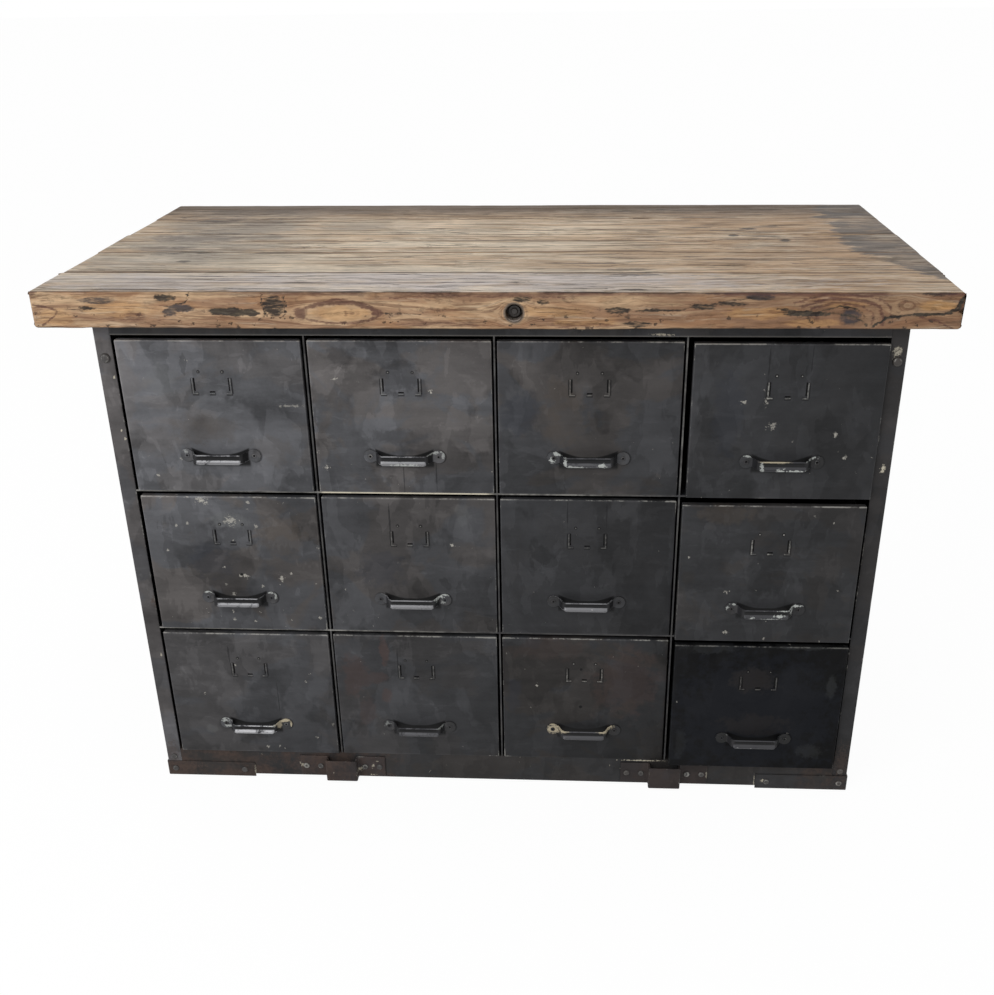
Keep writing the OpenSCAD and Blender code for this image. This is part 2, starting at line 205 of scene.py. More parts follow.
def makePatina():
    # old paint: soft clouds, crisp-edged patches, faint rubbing along x, warm and cool areas
    values = dict(Vector=(0, 0, 0), Base=(0.1, 0.1, 0.1, 1), Cloudy=1.0, Streaky=1.0, Warm=0.5)
    tree, inp, out = newGroup("paintPatina", ["Colour", "Rough", "Height"], **values)
    where = inp["Vector"]
    big = cloud(where, 5.0, 5, 0.58, 1.2)
    mid = cloud(stretch(where, (1, 1, 1.2), (3.1, 1.7, 0.4)), 24, 4, 0.62, 0.5)
    brushed = cloud(stretch(where, (0.4, 1, 2.6), (0.6, 0, 2.2)), 20, 4, 0.62, 0.5)
    fine = cloud(where, 260, 2, 0.6)
    lift = (big - 0.5) * inp["Cloudy"] * 1.7
    # layers of paint worn through to their own shorelines: scale, shape, offset, level, step
    layers = [(7.5, (1, 1, 0.8), (1.1, 4.7, 2.4), 0.50, 0.34),
              (14.0, (1.5, 1, 0.7), (5.2, 0.3, 1.9), 0.55, 0.28),
              (26.0, (0.6, 1, 1.5), (2.6, 7.1, 3.3), 0.60, 0.18)]
    for scale, shape, move, cut, step in layers:
        layer = cloud(stretch(where, shape, move), scale, 4.0, 0.56, 0.25)
        tide = rise(abs(layer - cut), 0.01, 0.003) * rise(mid, 0.52, 0.66)
        layer = tide * 0.9 + rise(layer, cut - 0.02, cut + 0.02, -0.5, 0.5)
        lift += layer * inp["Cloudy"] * step
    lift += (mid - 0.5) * inp["Cloudy"] * 0.55 + (brushed - 0.5) * inp["Streaky"] + (fine - 0.5) * 0.22
    level = most(lift + 1.14, 0.4)
    warmth = rise(cloud(stretch(where, (0.9, 1, 1.1), (7.3, 2.2, 5.1)), 7.5, 4, 0.6, 0.5), 0.48, 0.54)
    colour = mixColour(1.0, inp["Base"], greyOf(level), "MULTIPLY")
    tint = mixColour(warmth * inp["Warm"], (0.97, 0.985, 1.065), (1.11, 1.0, 0.95))
    feed(out["Colour"], mixColour(1.0, colour, tint, "MULTIPLY"))
    feed(out["Rough"], 0.62 + fine * 0.12 - mid * 0.25)
    feed(out["Height"], fine * 0.25 + mid * 0.6)
    return tree


def makeFlecks():
    # small ragged chips in clusters
    values = dict(Vector=(0, 0, 0), Scale=60.0, Amount=0.1, Size=0.3, Cluster=8.0)
    tree, inp, out = newGroup("chipFlecks", ["Mask"], **values)
    where = inp["Vector"]
    wobble = wires(addNode(tree, "ShaderNodeTexNoise", dict(Vector=where, Scale=330.0)))
    bent = vector("MULTIPLY_ADD", wobble["Color"], (0.009, 0.009, 0.009), where)
    cells = wires(addNode(tree, "ShaderNodeTexVoronoi", dict(Vector=bent, Scale=inp["Scale"])))
    luck = wires(addNode(tree, "ShaderNodeSeparateColor", [cells["Color"]]))
    group = cloud(stretch(where, (1, 1, 1), (2.7, 9.1, 4.4)), inp["Cluster"], 2, 0.5)
    near = rise(group, 0.42, 0.68, 0.12, 1.0)
    chosen = calc("GREATER_THAN", inp["Amount"] * near, luck["Red"])
    size = inp["Size"] * (luck["Green"] ** 2.5 + 0.25)
    feed(out["Mask"], chosen * rise(cells["Distance"], size, size * 0.5))
    return tree


def makeEdgeWear():
    # paint rubbed off where Near is high
    tree, inp, out = newGroup("edgeWear", ["Mask"], Vector=(0, 0, 0), Near=0.0, Amount=0.5)
    broken = cloud(inp["Vector"], 22, 5, 0.68) + cloud(inp["Vector"], 240, 2, 0.6) * 0.35
    edge = (broken - 0.67) * 2.2 + inp["Near"]
    bar = 1.3 - inp["Amount"]
    feed(out["Mask"], rise(edge, bar, bar + 0.35))
    return tree


def makeRust():
    tree, inp, out = newGroup("rustBloom", ["Mask", "Colour"], Vector=(0, 0, 0), Amount=0.3)
    where = inp["Vector"]
    spread = cloud(where, 12, 5, 0.66, 0.5)
    speck = cloud(where, 130, 4, 0.7)
    level = spread * 0.8 + speck * 0.2
    bar = 0.82 - inp["Amount"] * 0.5
    feed(out["Mask"], rise(level, bar, bar + 0.2))
    feed(out["Colour"], mixColour(speck, tone(50, 42, 40), tone(96, 80, 72)))
    return tree


def makeStreaks():
    # weathered board: broad bands, thin dark lines of many lengths, short cracks, pale ridges, fibres
    outputs = ["Band", "Line", "Crack", "Pale", "Fibre"]
    tree, inp, out = newGroup("woodStreaks", outputs, Vector=(0, 0, 0), Lines=0.5, Cracks=0.5)
    place = inp["Vector"]
    sway = cloud(stretch(place, (3.0, 8, 8)), 1.0, 3, 0.55) * 0.05 - 0.025
    where = vector("ADD", place, join(0.0, sway, sway))
    gate = cloud(stretch(place, (3.4, 9, 9), (3.3, 6.6, 1.2)), 1.0, 3, 0.55, 0.4)
    thin = cloud(stretch(where, (4.5, 115, 115), (1.3, 0.7, 0.2)), 1.0, 4, 0.7)
    long = cloud(stretch(where, (1.4, 64, 64), (7.7, 3.1, 2.9)), 1.0, 4, 0.6)
    short = cloud(stretch(where, (6.5, 170, 170), (5.1, 2.7, 8.2)), 1.0, 4, 0.66)
    bar = 0.6 - inp["Lines"] * 0.1
    line = rise(thin, bar, bar + 0.06) * rise(gate, 0.36, 0.58, 0.25, 1.0)
    line = most(line, rise(long, bar + 0.04, bar + 0.07))
    high = 0.72 - inp["Cracks"] * 0.12
    crack = rise(short, high, high + 0.03) * rise(gate, 0.4, 0.56, 0.3, 1.0)
    feed(out["Band"], cloud(stretch(where, (1.7, 24, 24), (4.4, 2.1, 7.7)), 1.0, 5, 0.66))
    feed(out["Line"], line)
    feed(out["Crack"], crack)
    feed(out["Pale"], rise(cloud(stretch(where, (5, 105, 105), (9.3, 8.7, 1.2)), 1.0, 4, 0.66), 0.55, 0.66))
    feed(out["Fibre"], cloud(stretch(where, (26, 170, 170)), 1.0, 4, 0.75))
    return tree


spotMask, patina, flecks = makeSpotMask(), makePatina(), makeFlecks()
edgeWear, rust, streaks = makeEdgeWear(), makeRust(), makeStreaks()


def newMaterial(name):
    material = bpy.data.materials.new(name)
    material.use_nodes = True
    tree = material.node_tree
    where = wires(addNode(tree, "ShaderNodeTexCoord"))["Object"]
    return material, tree, tree.nodes["Principled BSDF"], where


def attribute(tree, name, socket="Fac"):
    return wires(addNode(tree, "ShaderNodeAttribute", attribute_name=name))[socket]


def finishPaint(shader, colour, rough, gloss, height, depth, strength=0.5):
    bumps = dict(Height=height, Distance=depth, Strength=strength)
    relief = addNode(shader.id_data, "ShaderNodeBump", bumps)
    inputs = {"Base Color": colour, "Roughness": rough, "Specular IOR Level": gloss,
              "Normal": Wire(relief.outputs[0])}
    for label, value in inputs.items():
        feed(shader.inputs[label], value)


def spots(where, marks, ragged, face="front"):
    # the strongest of several ovals; marks are (across, up, reach across, reach up, strength) in mm
    total = None
    for across, up, wide, high, strength in marks:
        if face == "front":
            centre, reach = (across * mm, 0, up * mm), (wide * mm, 9, high * mm)
        else:
            centre, reach = (across * mm, up * mm, 0), (wide * mm, high * mm, 9)
        mask = useGroup(spotMask, Vector=where, Centre=centre, Reach=reach, Ragged=ragged)["Mask"]
        total = mask * strength if total is None else most(total, mask * strength)
    return total


# timber

timberLook = dict(
    topPale=tone(220, 203, 179), topTan=tone(188, 161, 131), topLine=tone(86, 70, 56),
    topCrack=tone(34, 27, 22), topRidge=tone(232, 219, 202),
    lavender=tone(196, 186, 181), olive=tone(156, 145, 131), smudge=tone(96, 84, 76), sootAndShade=tone(80, 77, 75),
    burnt=tone(74, 55, 35), tanRight=tone(176, 143, 108),
    faceLight=tone(208, 175, 139), faceMid=tone(163, 128, 100), faceOrange=tone(174, 132, 96),
    faceLine=tone(112, 78, 57),
    stain=tone(40, 34, 31), mould=tone(70, 64, 54), blue=tone(58, 57, 62), red=tone(90, 57, 51),
    rim=tone(126, 114, 102), endGrain=tone(112, 88, 66), gold=tone(208, 160, 104))
smudges = [(-574, 209, 45, 36, 0.8), (-479, 177, 36, 40, 0.7), (-555, 28, 80, 32, 0.75),
           (-590, -62, 60, 18, 0.7), (-520, 290, 90, 34, 0.6), (-300, 300, 70, 26, 0.5),
           (-435, 40, 34, 30, 0.4)]
goldMarks = [(667, 911, 26, 8, 0.9), (483, 884, 40, 6, 0.6), (404, 899, 50, 9, 0.7), (530, 912, 30, 5, 0.5),
             (148, 884, 50, 6, 0.6), (96, 899, 50, 7, 0.5), (-570, 902, 50, 12, 0.5),
             (-665, 890, 30, 12, 0.5), (-222, 897, 46, 10, 0.6)]
topMarks = {
    1: dict(dark=[(-527, -367, 40, 3, 0.5), (215, -262, 40, 6, 0.7)], grey=[(-160, -312, 640, 75, 1.0)]),
    2: dict(dark=[(-527, -167, 14, 9, 0.8), (150, -180, 60, 5, 0.7), (215, -226, 34, 9, 0.7)],
            grey=[(-520, -160, 170, 90, 0.9), (-20, -240, 220, 34, 0.5)]),
    3: dict(dark=[(412, 53, 9, 9, 1.0), (498, 7, 9, 9, 1.0), (430, 20, 50, 6, 0.6), (470, 40, 30, 5, 0.8)],
            grey=[(-510, 0, 150, 100, 0.9)]),
    4: dict(dark=[(261, 92, 22, 14, 0.5), (445, 120, 14, 9, 1.0), (400, 100, 40, 6, 0.7),
                  (360, 130, 30, 5, 0.8)], grey=[(-510, 140, 130, 100, 0.9), (-300, 150, 60, 60, 0.7)]),
    5: dict(dark=[(380, 235, 60, 6, 0.7), (300, 250, 40, 5, 0.6)], grey=[(-510, 260, 130, 60, 0.7)]),
}


def timber(index):
    look, marks = timberLook, topMarks[index]
    material, tree, shader, where = newMaterial("plankWood%d" % index)
    axes = split(where)
    local = stretch(where, (1, 1, 1), (index * 3.7, index * 0.21, 0))
    normal = split(wires(addNode(tree, "ShaderNodeNewGeometry"))["Normal"])
    up = rise(normal[2], 0.5, 0.85)
    end = rise(abs(normal[0]), 0.6, 0.9)
    blur = cloud(stretch(where, (9, 22, 22), (index * 1.9, 0, 0)), 1.0, 5, 0.66)
    ragged = (cloud(stretch(where, (40, 90, 90)), 1.0, 4, 0.65) - 0.5) * 3.0
    # upper face
    wood = useGroup(streaks, Vector=local, Lines=0.55, Cracks=1.15)
    band, line, crack, pale, fibre = (wood[k] for k in ("Band", "Line", "Crack", "Pale", "Fibre"))
    top = mixColour(rise(band, 0.4, 0.6), look["topPale"], look["topTan"])
    warm = most(rise(axes[0], 0.02, 0.45), rise(axes[1], 0.02, 0.3, 0.0, 0.75))
    top = mixColour(warm * rise(blur, 0.3, 0.62, 0.25, 1.0), top, look["tanRight"])
    weather = cloud(stretch(where, (4.5, 8, 8), (index * 0.7, 1.3, 0)), 1.0, 3, 0.55, 0.8)
    top = mixColour(1.0, top, greyOf(rise(weather, 0.34, 0.64, 0.88, 1.11)), "MULTIPLY")
    # weathered grey patches; on the front plank the grey-lavender also paints the sheen of light across its
    # top, a painted reflection
    greyed = spots(where, marks["grey"], ragged * 0.4, "top")
    grey = look["lavender"] if index == 1 else look["olive"]
    top = mixColour(greyed * rise(blur, 0.34, 0.6, 0.35, 0.95), top, grey)
    top = mixColour(1.0, top, greyOf(rise(abs(axes[0]), 0.55, 0.1, 0.99, 1.17)), "MULTIPLY")
    smudged = spots(where, smudges, ragged * 0.7, "top")
    top = mixColour(smudged * 0.75, top, look["smudge"])
    # dark band along the back and the dark corner at the right
    edge = most(axes[1] * -1.0, 0.0) ** 2.0
    past = axes[0] - edge - 0.606 + (blur - 0.5) * 0.16
    sooty = rise(past, -0.005, 0.012) * rise(blur, 0.36, 0.58, 0.45, 0.85)
    back = (blur - 0.5) * 0.12 + axes[1]
    browned = rise(back, 0.19, 0.35, 0.0, 0.9)
    top = mixColour(browned, top, look["burnt"])
    top = mixColour(sooty, top, look["sootAndShade"])
    top = mixColour(line * (greyed * -0.25 + 0.62), top, look["topLine"])
    top = mixColour(pale * (most(browned, sooty) * -0.42 + 0.5), top, look["topRidge"])
    dark = most(crack * 0.85, spots(where, marks["dark"], ragged, "top") * 0.85)
    top = mixColour(dark, top, look["topCrack"])
    if index < 3:
        # the open seam behind the front plank
        seam = rise(abs(axes[1] + 0.249), 0.0042, 0.0014) * rise(axes[0], 0.5, 0.2, 0.15, 0.7)
        top = mixColour(seam * rise(blur, 0.34, 0.5, 0.5, 1.0), top, look["topCrack"])
    # long edges: the grain of the front edge flows round its knots
    flow = join(axes[0], axes[1], attribute(tree, "flow")) if index == 1 else where
    grain = stretch(flow, (1.6, 1, 1.8), (0.4 + index, 0.2, 2.3))
    side = useGroup(streaks, Vector=grain, Lines=0.45, Cracks=0.25)
    face = mixColour(rise(side["Band"], 0.42, 0.56), look["faceLight"], look["faceMid"])
    orange = cloud(stretch(where, (8, 26, 26), (2.2, 5.0, 1.0)), 1.0, 4, 0.6, 0.8)
    face = mixColour(rise(orange, 0.46, 0.62, 0.0, 0.7), face, look["faceOrange"])
    if index == 1:
        shadowed = rise(blur * 0.3 + axes[0], 0.25, 0.62, 0.0, 0.5)
        face = mixColour(shadowed, face, look["faceLine"])
        golden = spots(where, goldMarks, ragged * 0.5)
        face = mixColour(golden * 0.7, face, look["gold"])
    face = mixColour(side["Line"] * 0.6, face, look["faceLine"])
    face = mixColour(side["Pale"] * 0.25, face, look["topPale"])
    wide = stretch(where, (0.7, 1, 1))
    worm = useGroup(flecks, Vector=wide, Scale=140.0, Amount=0.7, Size=0.42, Cluster=9.0)
    dots = worm["Mask"] * rise(axes[2], 0.906, 0.886, 0.3, 1.0)
    face = mixColour(most(side["Crack"] * 0.65, dots * 0.8), face, look["stain"])
    holes = most(crack, dots)
    if index == 1:
        art = split(attribute(tree, "marks", "Vector"))
        wisp = cloud(stretch(flow, (55, 90, 330)), 1.0, 4, 0.68) - 0.5
        stained = mixColour(rise(wisp, -0.08, 0.08), look["mould"], look["stain"])
        layers = [(2, look["red"], 0.12, 0.95, 0.8), (1, look["blue"], 0.12, 0.95, 0.88),
                  (0, stained, 0.22, 0.78, 0.95)]
        for k, colour, lo, hi, full in layers:
            mask = art[k] + wisp * rise(art[k], 0.02, 0.4) * 1.9
            face = mixColour(rise(mask, lo, hi, 0.0, full), face, colour)
        ring = vector("DISTANCE", vector("MULTIPLY", where, (1, 0, 1)), (tieBolt["x"], 0, tieBolt["z"]))
        ring += ragged * 0.0009
        face = mixColour(rise(ring, 0.0172, 0.0152, 0.0, 0.85), face, look["rim"])
        face = mixColour(rise(ring, 0.015, 0.0138) * 0.6, face, look["stain"])
        groove = abs((blur - 0.5) * 0.02 + (axes[1] + 0.366))
        top = mixColour(rise(groove, 0.0034, 0.0012) * rise(band, 0.36, 0.52) * 0.7, top, look["topLine"])
        brow = rise(axes[2], 0.921, 0.9275) * rise(axes[0], -0.45, -0.3)
        face = mixColour(brow * rise(blur, 0.38, 0.56, 0.15, 0.8), face, look["red"])
    colour = mixColour(up, face, top)
    colour = mixColour(end * 0.6, colour, look["endGrain"])
    # grime in the joints and along the worn arrises
    joint = rise(axes[0], -0.12, -0.34, 0.3, 1.0)
    if index < 3:
        joint = most(joint, rise(axes[1], -0.17, -0.2))
    grimeAndShade = rise(attribute(tree, "arris"), 0.35, 0.9) * joint * rise(blur, 0.36, 0.54, 0.4, 1.0)
    colour = mixColour(grimeAndShade * rise(axes[1], -0.36, -0.34, 0.5, 0.85), colour, look["stain"])
    shade = rise(fibre, 0.28, 0.72, 0.8, 1.14)
    colour = mixColour(1.0, colour, greyOf(shade), "MULTIPLY")
    height = fibre * 0.35 - (line * 0.45 + holes)
    finishPaint(shader, colour, line * 0.2 + 0.55, 0.3, height, 0.0014, 0.8)
    return material


# painted steel

steelLook = dict(foot=57, lift=34, across=29, more=60, low=0.186, mid=0.45, bare=tone(176, 174, 168),
                 cream=tone(216, 208, 188), grimeAndShade=tone(17, 17, 18), shadeBlack=tone(8, 8, 9))
drawerMarks = {
    "11": dict(chips=0.10, warm=0.4, light=[(-529, 778, 26, 30, 0.4)],
               brown=[(-466, 698, 55, 24, 0.6), (-360, 660, 30, 26, 0.5)], chip=[(-322, 737, 22, 2, 0.5)]),
    "12": dict(chips=0.22, warm=0.7, deep=1.10,
               dark=[(-148, 786, 40, 28, 0.6), (-109, 767, 10, 20, 0.5), (-243, 820, 22, 16, 0.5),
                     (-154, 686, 50, 12, 0.4)],
               line=[(-147, 612, 1.2, 28, 0.7), (-93, 622, 1.2, 34, 0.7)],
               chip=[(-97, 762, 3, 4, 1), (-274, 631, 6, 4, 1), (-250, 781, 5, 3, 1)]),
    "13": dict(chips=0.15, warm=0.8, deep=0.89, cool=[(45, 725, 34, 32, 0.8)],
               brown=[(114, 725, 34, 60, 0.6)]),
    "14": dict(chips=0.30, warm=0.1, deep=0.87, tabs=0.9,
               line=[(432, 815, 1.5, 26, 0.8), (497, 820, 1.2, 22, 0.7)], cool=[(375, 727, 24, 70, 0.6)],
               chip=[(432, 752, 3, 9, 0.8), (444, 712, 8, 6, 0.6), (396, 751, 6, 3, 0.8),
                     (544, 698, 4, 4, 0.9), (563, 660, 3, 5, 0.8)]),
    "21": dict(chips=0.70, warm=0.8, deep=0.93,
               chip=[(-494, 569, 12, 6, 1), (-447, 532, 12, 8, 0.8), (-436, 428, 9, 4, 0.9),
                     (-370, 425, 5, 8, 0.8), (-404, 522, 3, 8, 0.6)], light=[(-449, 533, 30, 16, 0.6)],
               brown=[(-364, 502, 36, 40, 0.7)], cool=[(-489, 455, 40, 30, 0.7)],
               hole=[(-440, 431, 3, 2.6, 1)]),
    "22": dict(chips=0.25, warm=0.7, deep=0.96, cool=[(-195, 444, 40, 36, 0.8)], chip=[(-73, 491, 4, 4, 1)],
               line=[(-176, 538, 1.4, 24, 0.8)], light=[(-53, 545, 12, 22, 0.3)]),
    "23": dict(chips=0.08, warm=0.1, deep=0.70, line=[(123, 551, 1.2, 26, 0.8), (188, 551, 1.2, 26, 0.7)],
               dark=[(214, 410, 22, 14, 0.5)]),
    "24": dict(chips=0.03, warm=0.6, tabs=0.9, brown=[(387, 560, 50, 16, 0.6)],
               chip=[(393, 418, 4, 3, 1), (395, 340, 6, 3, 0.8)]),
    "31": dict(chips=0.14, warm=0.4, line=[(-483, 270, 1.4, 20, 0.7), (-402, 176, 1.2, 34, 0.7)],
               light=[(-532, 108, 12, 9, 0.4)]),
    "32": dict(chips=0.10, warm=0.4,
               red=[(-201, 280, 8, 24, 0.65), (-202, 185, 9, 16, 0.5), (-257, 229, 24, 44, 0.45),
                    (-215, 225, 20, 12, 0.4), (-240, 150, 16, 30, 0.3)], line=[(-178, 264, 1.3, 18, 0.7)],
               dark=[(-31, 84, 22, 12, 0.5)]),
    "33": dict(chips=0.16, warm=0.9, deep=0.78, tabs=0.6,
               red=[(232, 225, 55, 70, 0.3), (90, 290, 60, 24, 0.2)], cool=[(30, 190, 14, 40, 0.7)],
               dark=[(278, 103, 16, 30, 0.5), (22, 90, 14, 18, 0.4)],
               hole=[(150, 171, 3, 3, 1), (150, 250, 2.4, 2.6, 1)], chip=[(71, 216, 3, 3, 1)]),
    "34": dict(chips=0.03, warm=0.0, deep=0.30,
               cool=[(455, 170, 150, 130, 0.45)],
               brown=[(455, 243, 38, 26, 0.35), (455, 150, 60, 20, 0.25)],
               light=[(372, 308, 40, 10, 0.14), (588, 235, 9, 22, 0.2), (566, 96, 26, 14, 0.16),
                      (530, 312, 60, 5, 0.16), (330, 110, 10, 30, 0.1)]),
}
markColours = dict(dark=tone(34, 34, 36), cool=tone(44, 48, 58), brown=tone(84, 74, 64),
                   light=tone(122, 124, 124), red=tone(80, 62, 57), line=tone(22, 22, 24),
                   hole=tone(4, 4, 5), chip=tone(196, 192, 182))


def fadeAndLightFall(where):
    # the finish is paler at the upper left than at the lower right: partly the paint's own fading, partly
    # painted light falling from the upper left
    look, axes = steelLook, split(where)
    up = axes[2] - look["low"]
    slope = most(axes[2] - look["mid"], 0.0) * (-look["more"] / 255) - look["across"] / 255
    level = up * (look["lift"] / 255) + look["foot"] / 255
    level = axes[0] * slope + level
    return most(level, 0.06) ** 2.2


def drawerPaint(key):
    marks, pull, pan = drawerMarks[key], pullLook, panLook
    material, tree, shader, where = newMaterial("drawerPaint" + key)
    moved = stretch(where, (1, 1, 1), (int(key) * 0.37, 0, int(key) * 0.11))
    deep, tabs = marks.get("deep", 1.0), marks.get("tabs", 0.0)
    level = fadeAndLightFall(where) * deep
    look = useGroup(patina, Vector=moved, Base=greyOf(level), Cloudy=0.95, Streaky=0.6, Warm=marks["warm"])
    ragged = (cloud(where, 55, 5, 0.68) - 0.48) * 2.6
    colour = look["Colour"]
    for kind in ("brown", "light", "cool", "red", "dark", "line"):
        if marks.get(kind):
            paint = markColours[kind]
            if kind in ("brown", "light", "cool"):
                paint = mixColour(0.55, colour, paint)
            colour = mixColour(spots(where, marks[kind], ragged) * 0.8, colour, paint)
    chip = useGroup(flecks, Vector=moved, Scale=95.0, Amount=marks["chips"], Size=0.27, Cluster=7.0)
    chip = chip["Mask"] * 0.6
    if marks.get("chip"):
        torn = (cloud(where, 260, 4, 0.7) - 0.42) * 6.0
        chip = most(chip, spots(where, marks["chip"], torn) * 0.8)
    colour = mixColour(chip, colour, markColours["chip"])
    sheet = split(attribute(tree, "sheet", "Vector"))
    panel = split(attribute(tree, "panel", "Vector"))
    # painted shadow on the face behind the pull's grip, and a painted shadow crescent to the lower right of
    # each ear
    aside, over = abs(sheet[0]), sheet[1] - pull["up"]
    brow = most(aside * 29.4 - 0.3, 0.0) ** 1.6
    above = over - (brow * 0.01 + 0.0005)
    gripShadow = rise(aside, 0.05, 0.046) * rise(over, -0.022, -0.015) * rise(above, 0.002, -0.001)
    ear = join(abs(sheet[0] - 0.0012) - pull["earX"], over + 0.0006, 0.0)
    earShadow = rise(vector("LENGTH", ear), pull["earR"] + 0.002, pull["earR"] + 0.0004) * 0.45
    flat = rise(sheet[2], 0.003, 0.001)
    colour = mixColour(most(gripShadow, earShadow) * flat * 0.95, colour, steelLook["shadeBlack"])
    # raised tabs are rubbed, with painted shadows beside the hooked tabs and under their feet; the pips
    # above them are dark, their tops rubbed and given a painted glint
    proud = rise(sheet[2], -0.0005, -0.0014)
    rubbed = rise(cloud(where, 150, 3, 0.65), 0.42, 0.6, 0.2, 1.0)
    colour = mixColour(proud * rubbed * (0.22 + 0.4 * tabs), colour, steelLook["bare"])
    label = sheet[1] - (panel[1] - pan["labelDown"])
    low, half = -pan["labelHigh"] / 2, pan["labelWide"] / 2
    tall, foot = pan["tabHigh"] / 2, pan["tabFoot"] / 2
    tabX, tabZ = aside - half, abs(label - (low + tall))
    # painted shadow: a dark line along the outer side of each hooked tab
    outer = rise(tabX, 0.0, 0.0004) * rise(tabX, 0.0028, 0.0012) * rise(tabZ, tall + 0.001, tall - 0.002)
    footX = least(aside, abs(aside - (half - foot)))
    # painted shadow under the tab feet
    footShadow = rise(label, low - 0.003, low - 0.0018) * rise(label, low + 0.0004, low - 0.0002)
    footShadow *= rise(footX, foot + 0.0012, foot)
    flat = rise(sheet[2], -0.0006, -0.0002)
    colour = mixColour(most(outer, footShadow) * flat * 0.8, colour, steelLook["grimeAndShade"])
    pip = vector("LENGTH", join(aside - pan["pipX"], label - pan["pipUp"], 0.0)) + ragged * 0.0008
    colour = mixColour(rise(pip, 0.0036, 0.002) * 0.75, colour, steelLook["grimeAndShade"])
    # the pip tops: rubbed bare metal with a painted glint
    colour = mixColour(rise(pip, 0.0012, 0.0006) * (0.4 + 0.5 * tabs), colour, steelLook["bare"])
    # rubbed folds and corners; the folds also carry a painted highlight along the bends
    side, top = panel[0] - aside, panel[1] - sheet[1]
    crest = rise(most(top, sheet[2]), 0.0034, 0.0012)
    flank = rise(most(side, sheet[2]), 0.0026, 0.001, 0.0, 0.75)
    foot = rise(sheet[1], 0.0022, 0.0006, 0.0, 0.6)
    near = most(crest, most(flank, foot))
    corner = rise(side + least(top, sheet[1]), 0.03, 0.0)
    worn = useGroup(edgeWear, Vector=moved, Near=corner * 0.3 + near, Amount=0.38)["Mask"]
    # painted highlight on the folds, brightening the paint
    foldHighlight = near * rise(cloud(moved, 30, 3, 0.6), 0.34, 0.56, 0.35, 1.0)
    colour = mixColour(foldHighlight * 0.5, colour, mixColour(1.0, colour, (2.3, 2.3, 2.25), "MULTIPLY"))
    colour = mixColour(worn * (0.6 * min(1.0, deep * 1.4)), colour, steelLook["bare"])
    # holes painted black: the painted shade of their insides
    if marks.get("hole"):
        colour = mixColour(spots(where, marks["hole"], 0.0), colour, markColours["hole"])
    gloss = 0.22 * min(1.0, deep * 1.2)
    finishPaint(shader, colour, look["Rough"] - worn * 0.15, gloss, look["Height"] - chip * 0.9, 0.0006)
    return material


paintMarks = {
    "postPaint": dict(chip=[(-607, 782, 2, 2.5, 0.7), (-610, 692, 1.8, 2, 0.8), (-606, 678, 2, 2.5, 0.7),
                            (-608, 264, 2, 4, 0.7), (629, 637, 4, 7, 0.9), (626, 829, 7, 9, 0.6)],
                      brown=[(-604, 374, 7, 12, 0.7), (628, 60, 16, 40, 0.5), (-618, 45, 13, 40, 0.5)]),
    "plinthPaint": dict(chip=[(265, 55, 42, 1.4, 0.8), (489, 17, 6, 3, 0.8), (-463, 15, 1.2, 12, 0.6),
                              (473, 15, 1.2, 12, 0.6), (-372, 33, 5, 3, 0.7), (232, 36, 5, 3, 0.7)],
                        brown=[(-587, 20, 30, 10, 0.8), (-357, 33, 26, 12, 0.7)]),
    "socketPaint": dict(chip=[(-373, 29, 6, 4, 0.45), (-262, 24, 4, 4, 0.6), (-237, 31, 3, 5, 0.55),
                              (-237, 11, 7, 1.2, 0.7), (-228, 42, 4, 1.4, 0.5), (385, 28, 2, 9, 0.4)],
                        brown=[]),
    "railPaint": dict(chip=[(268, 855, 17, 2, 0.7)], brown=[]),
}


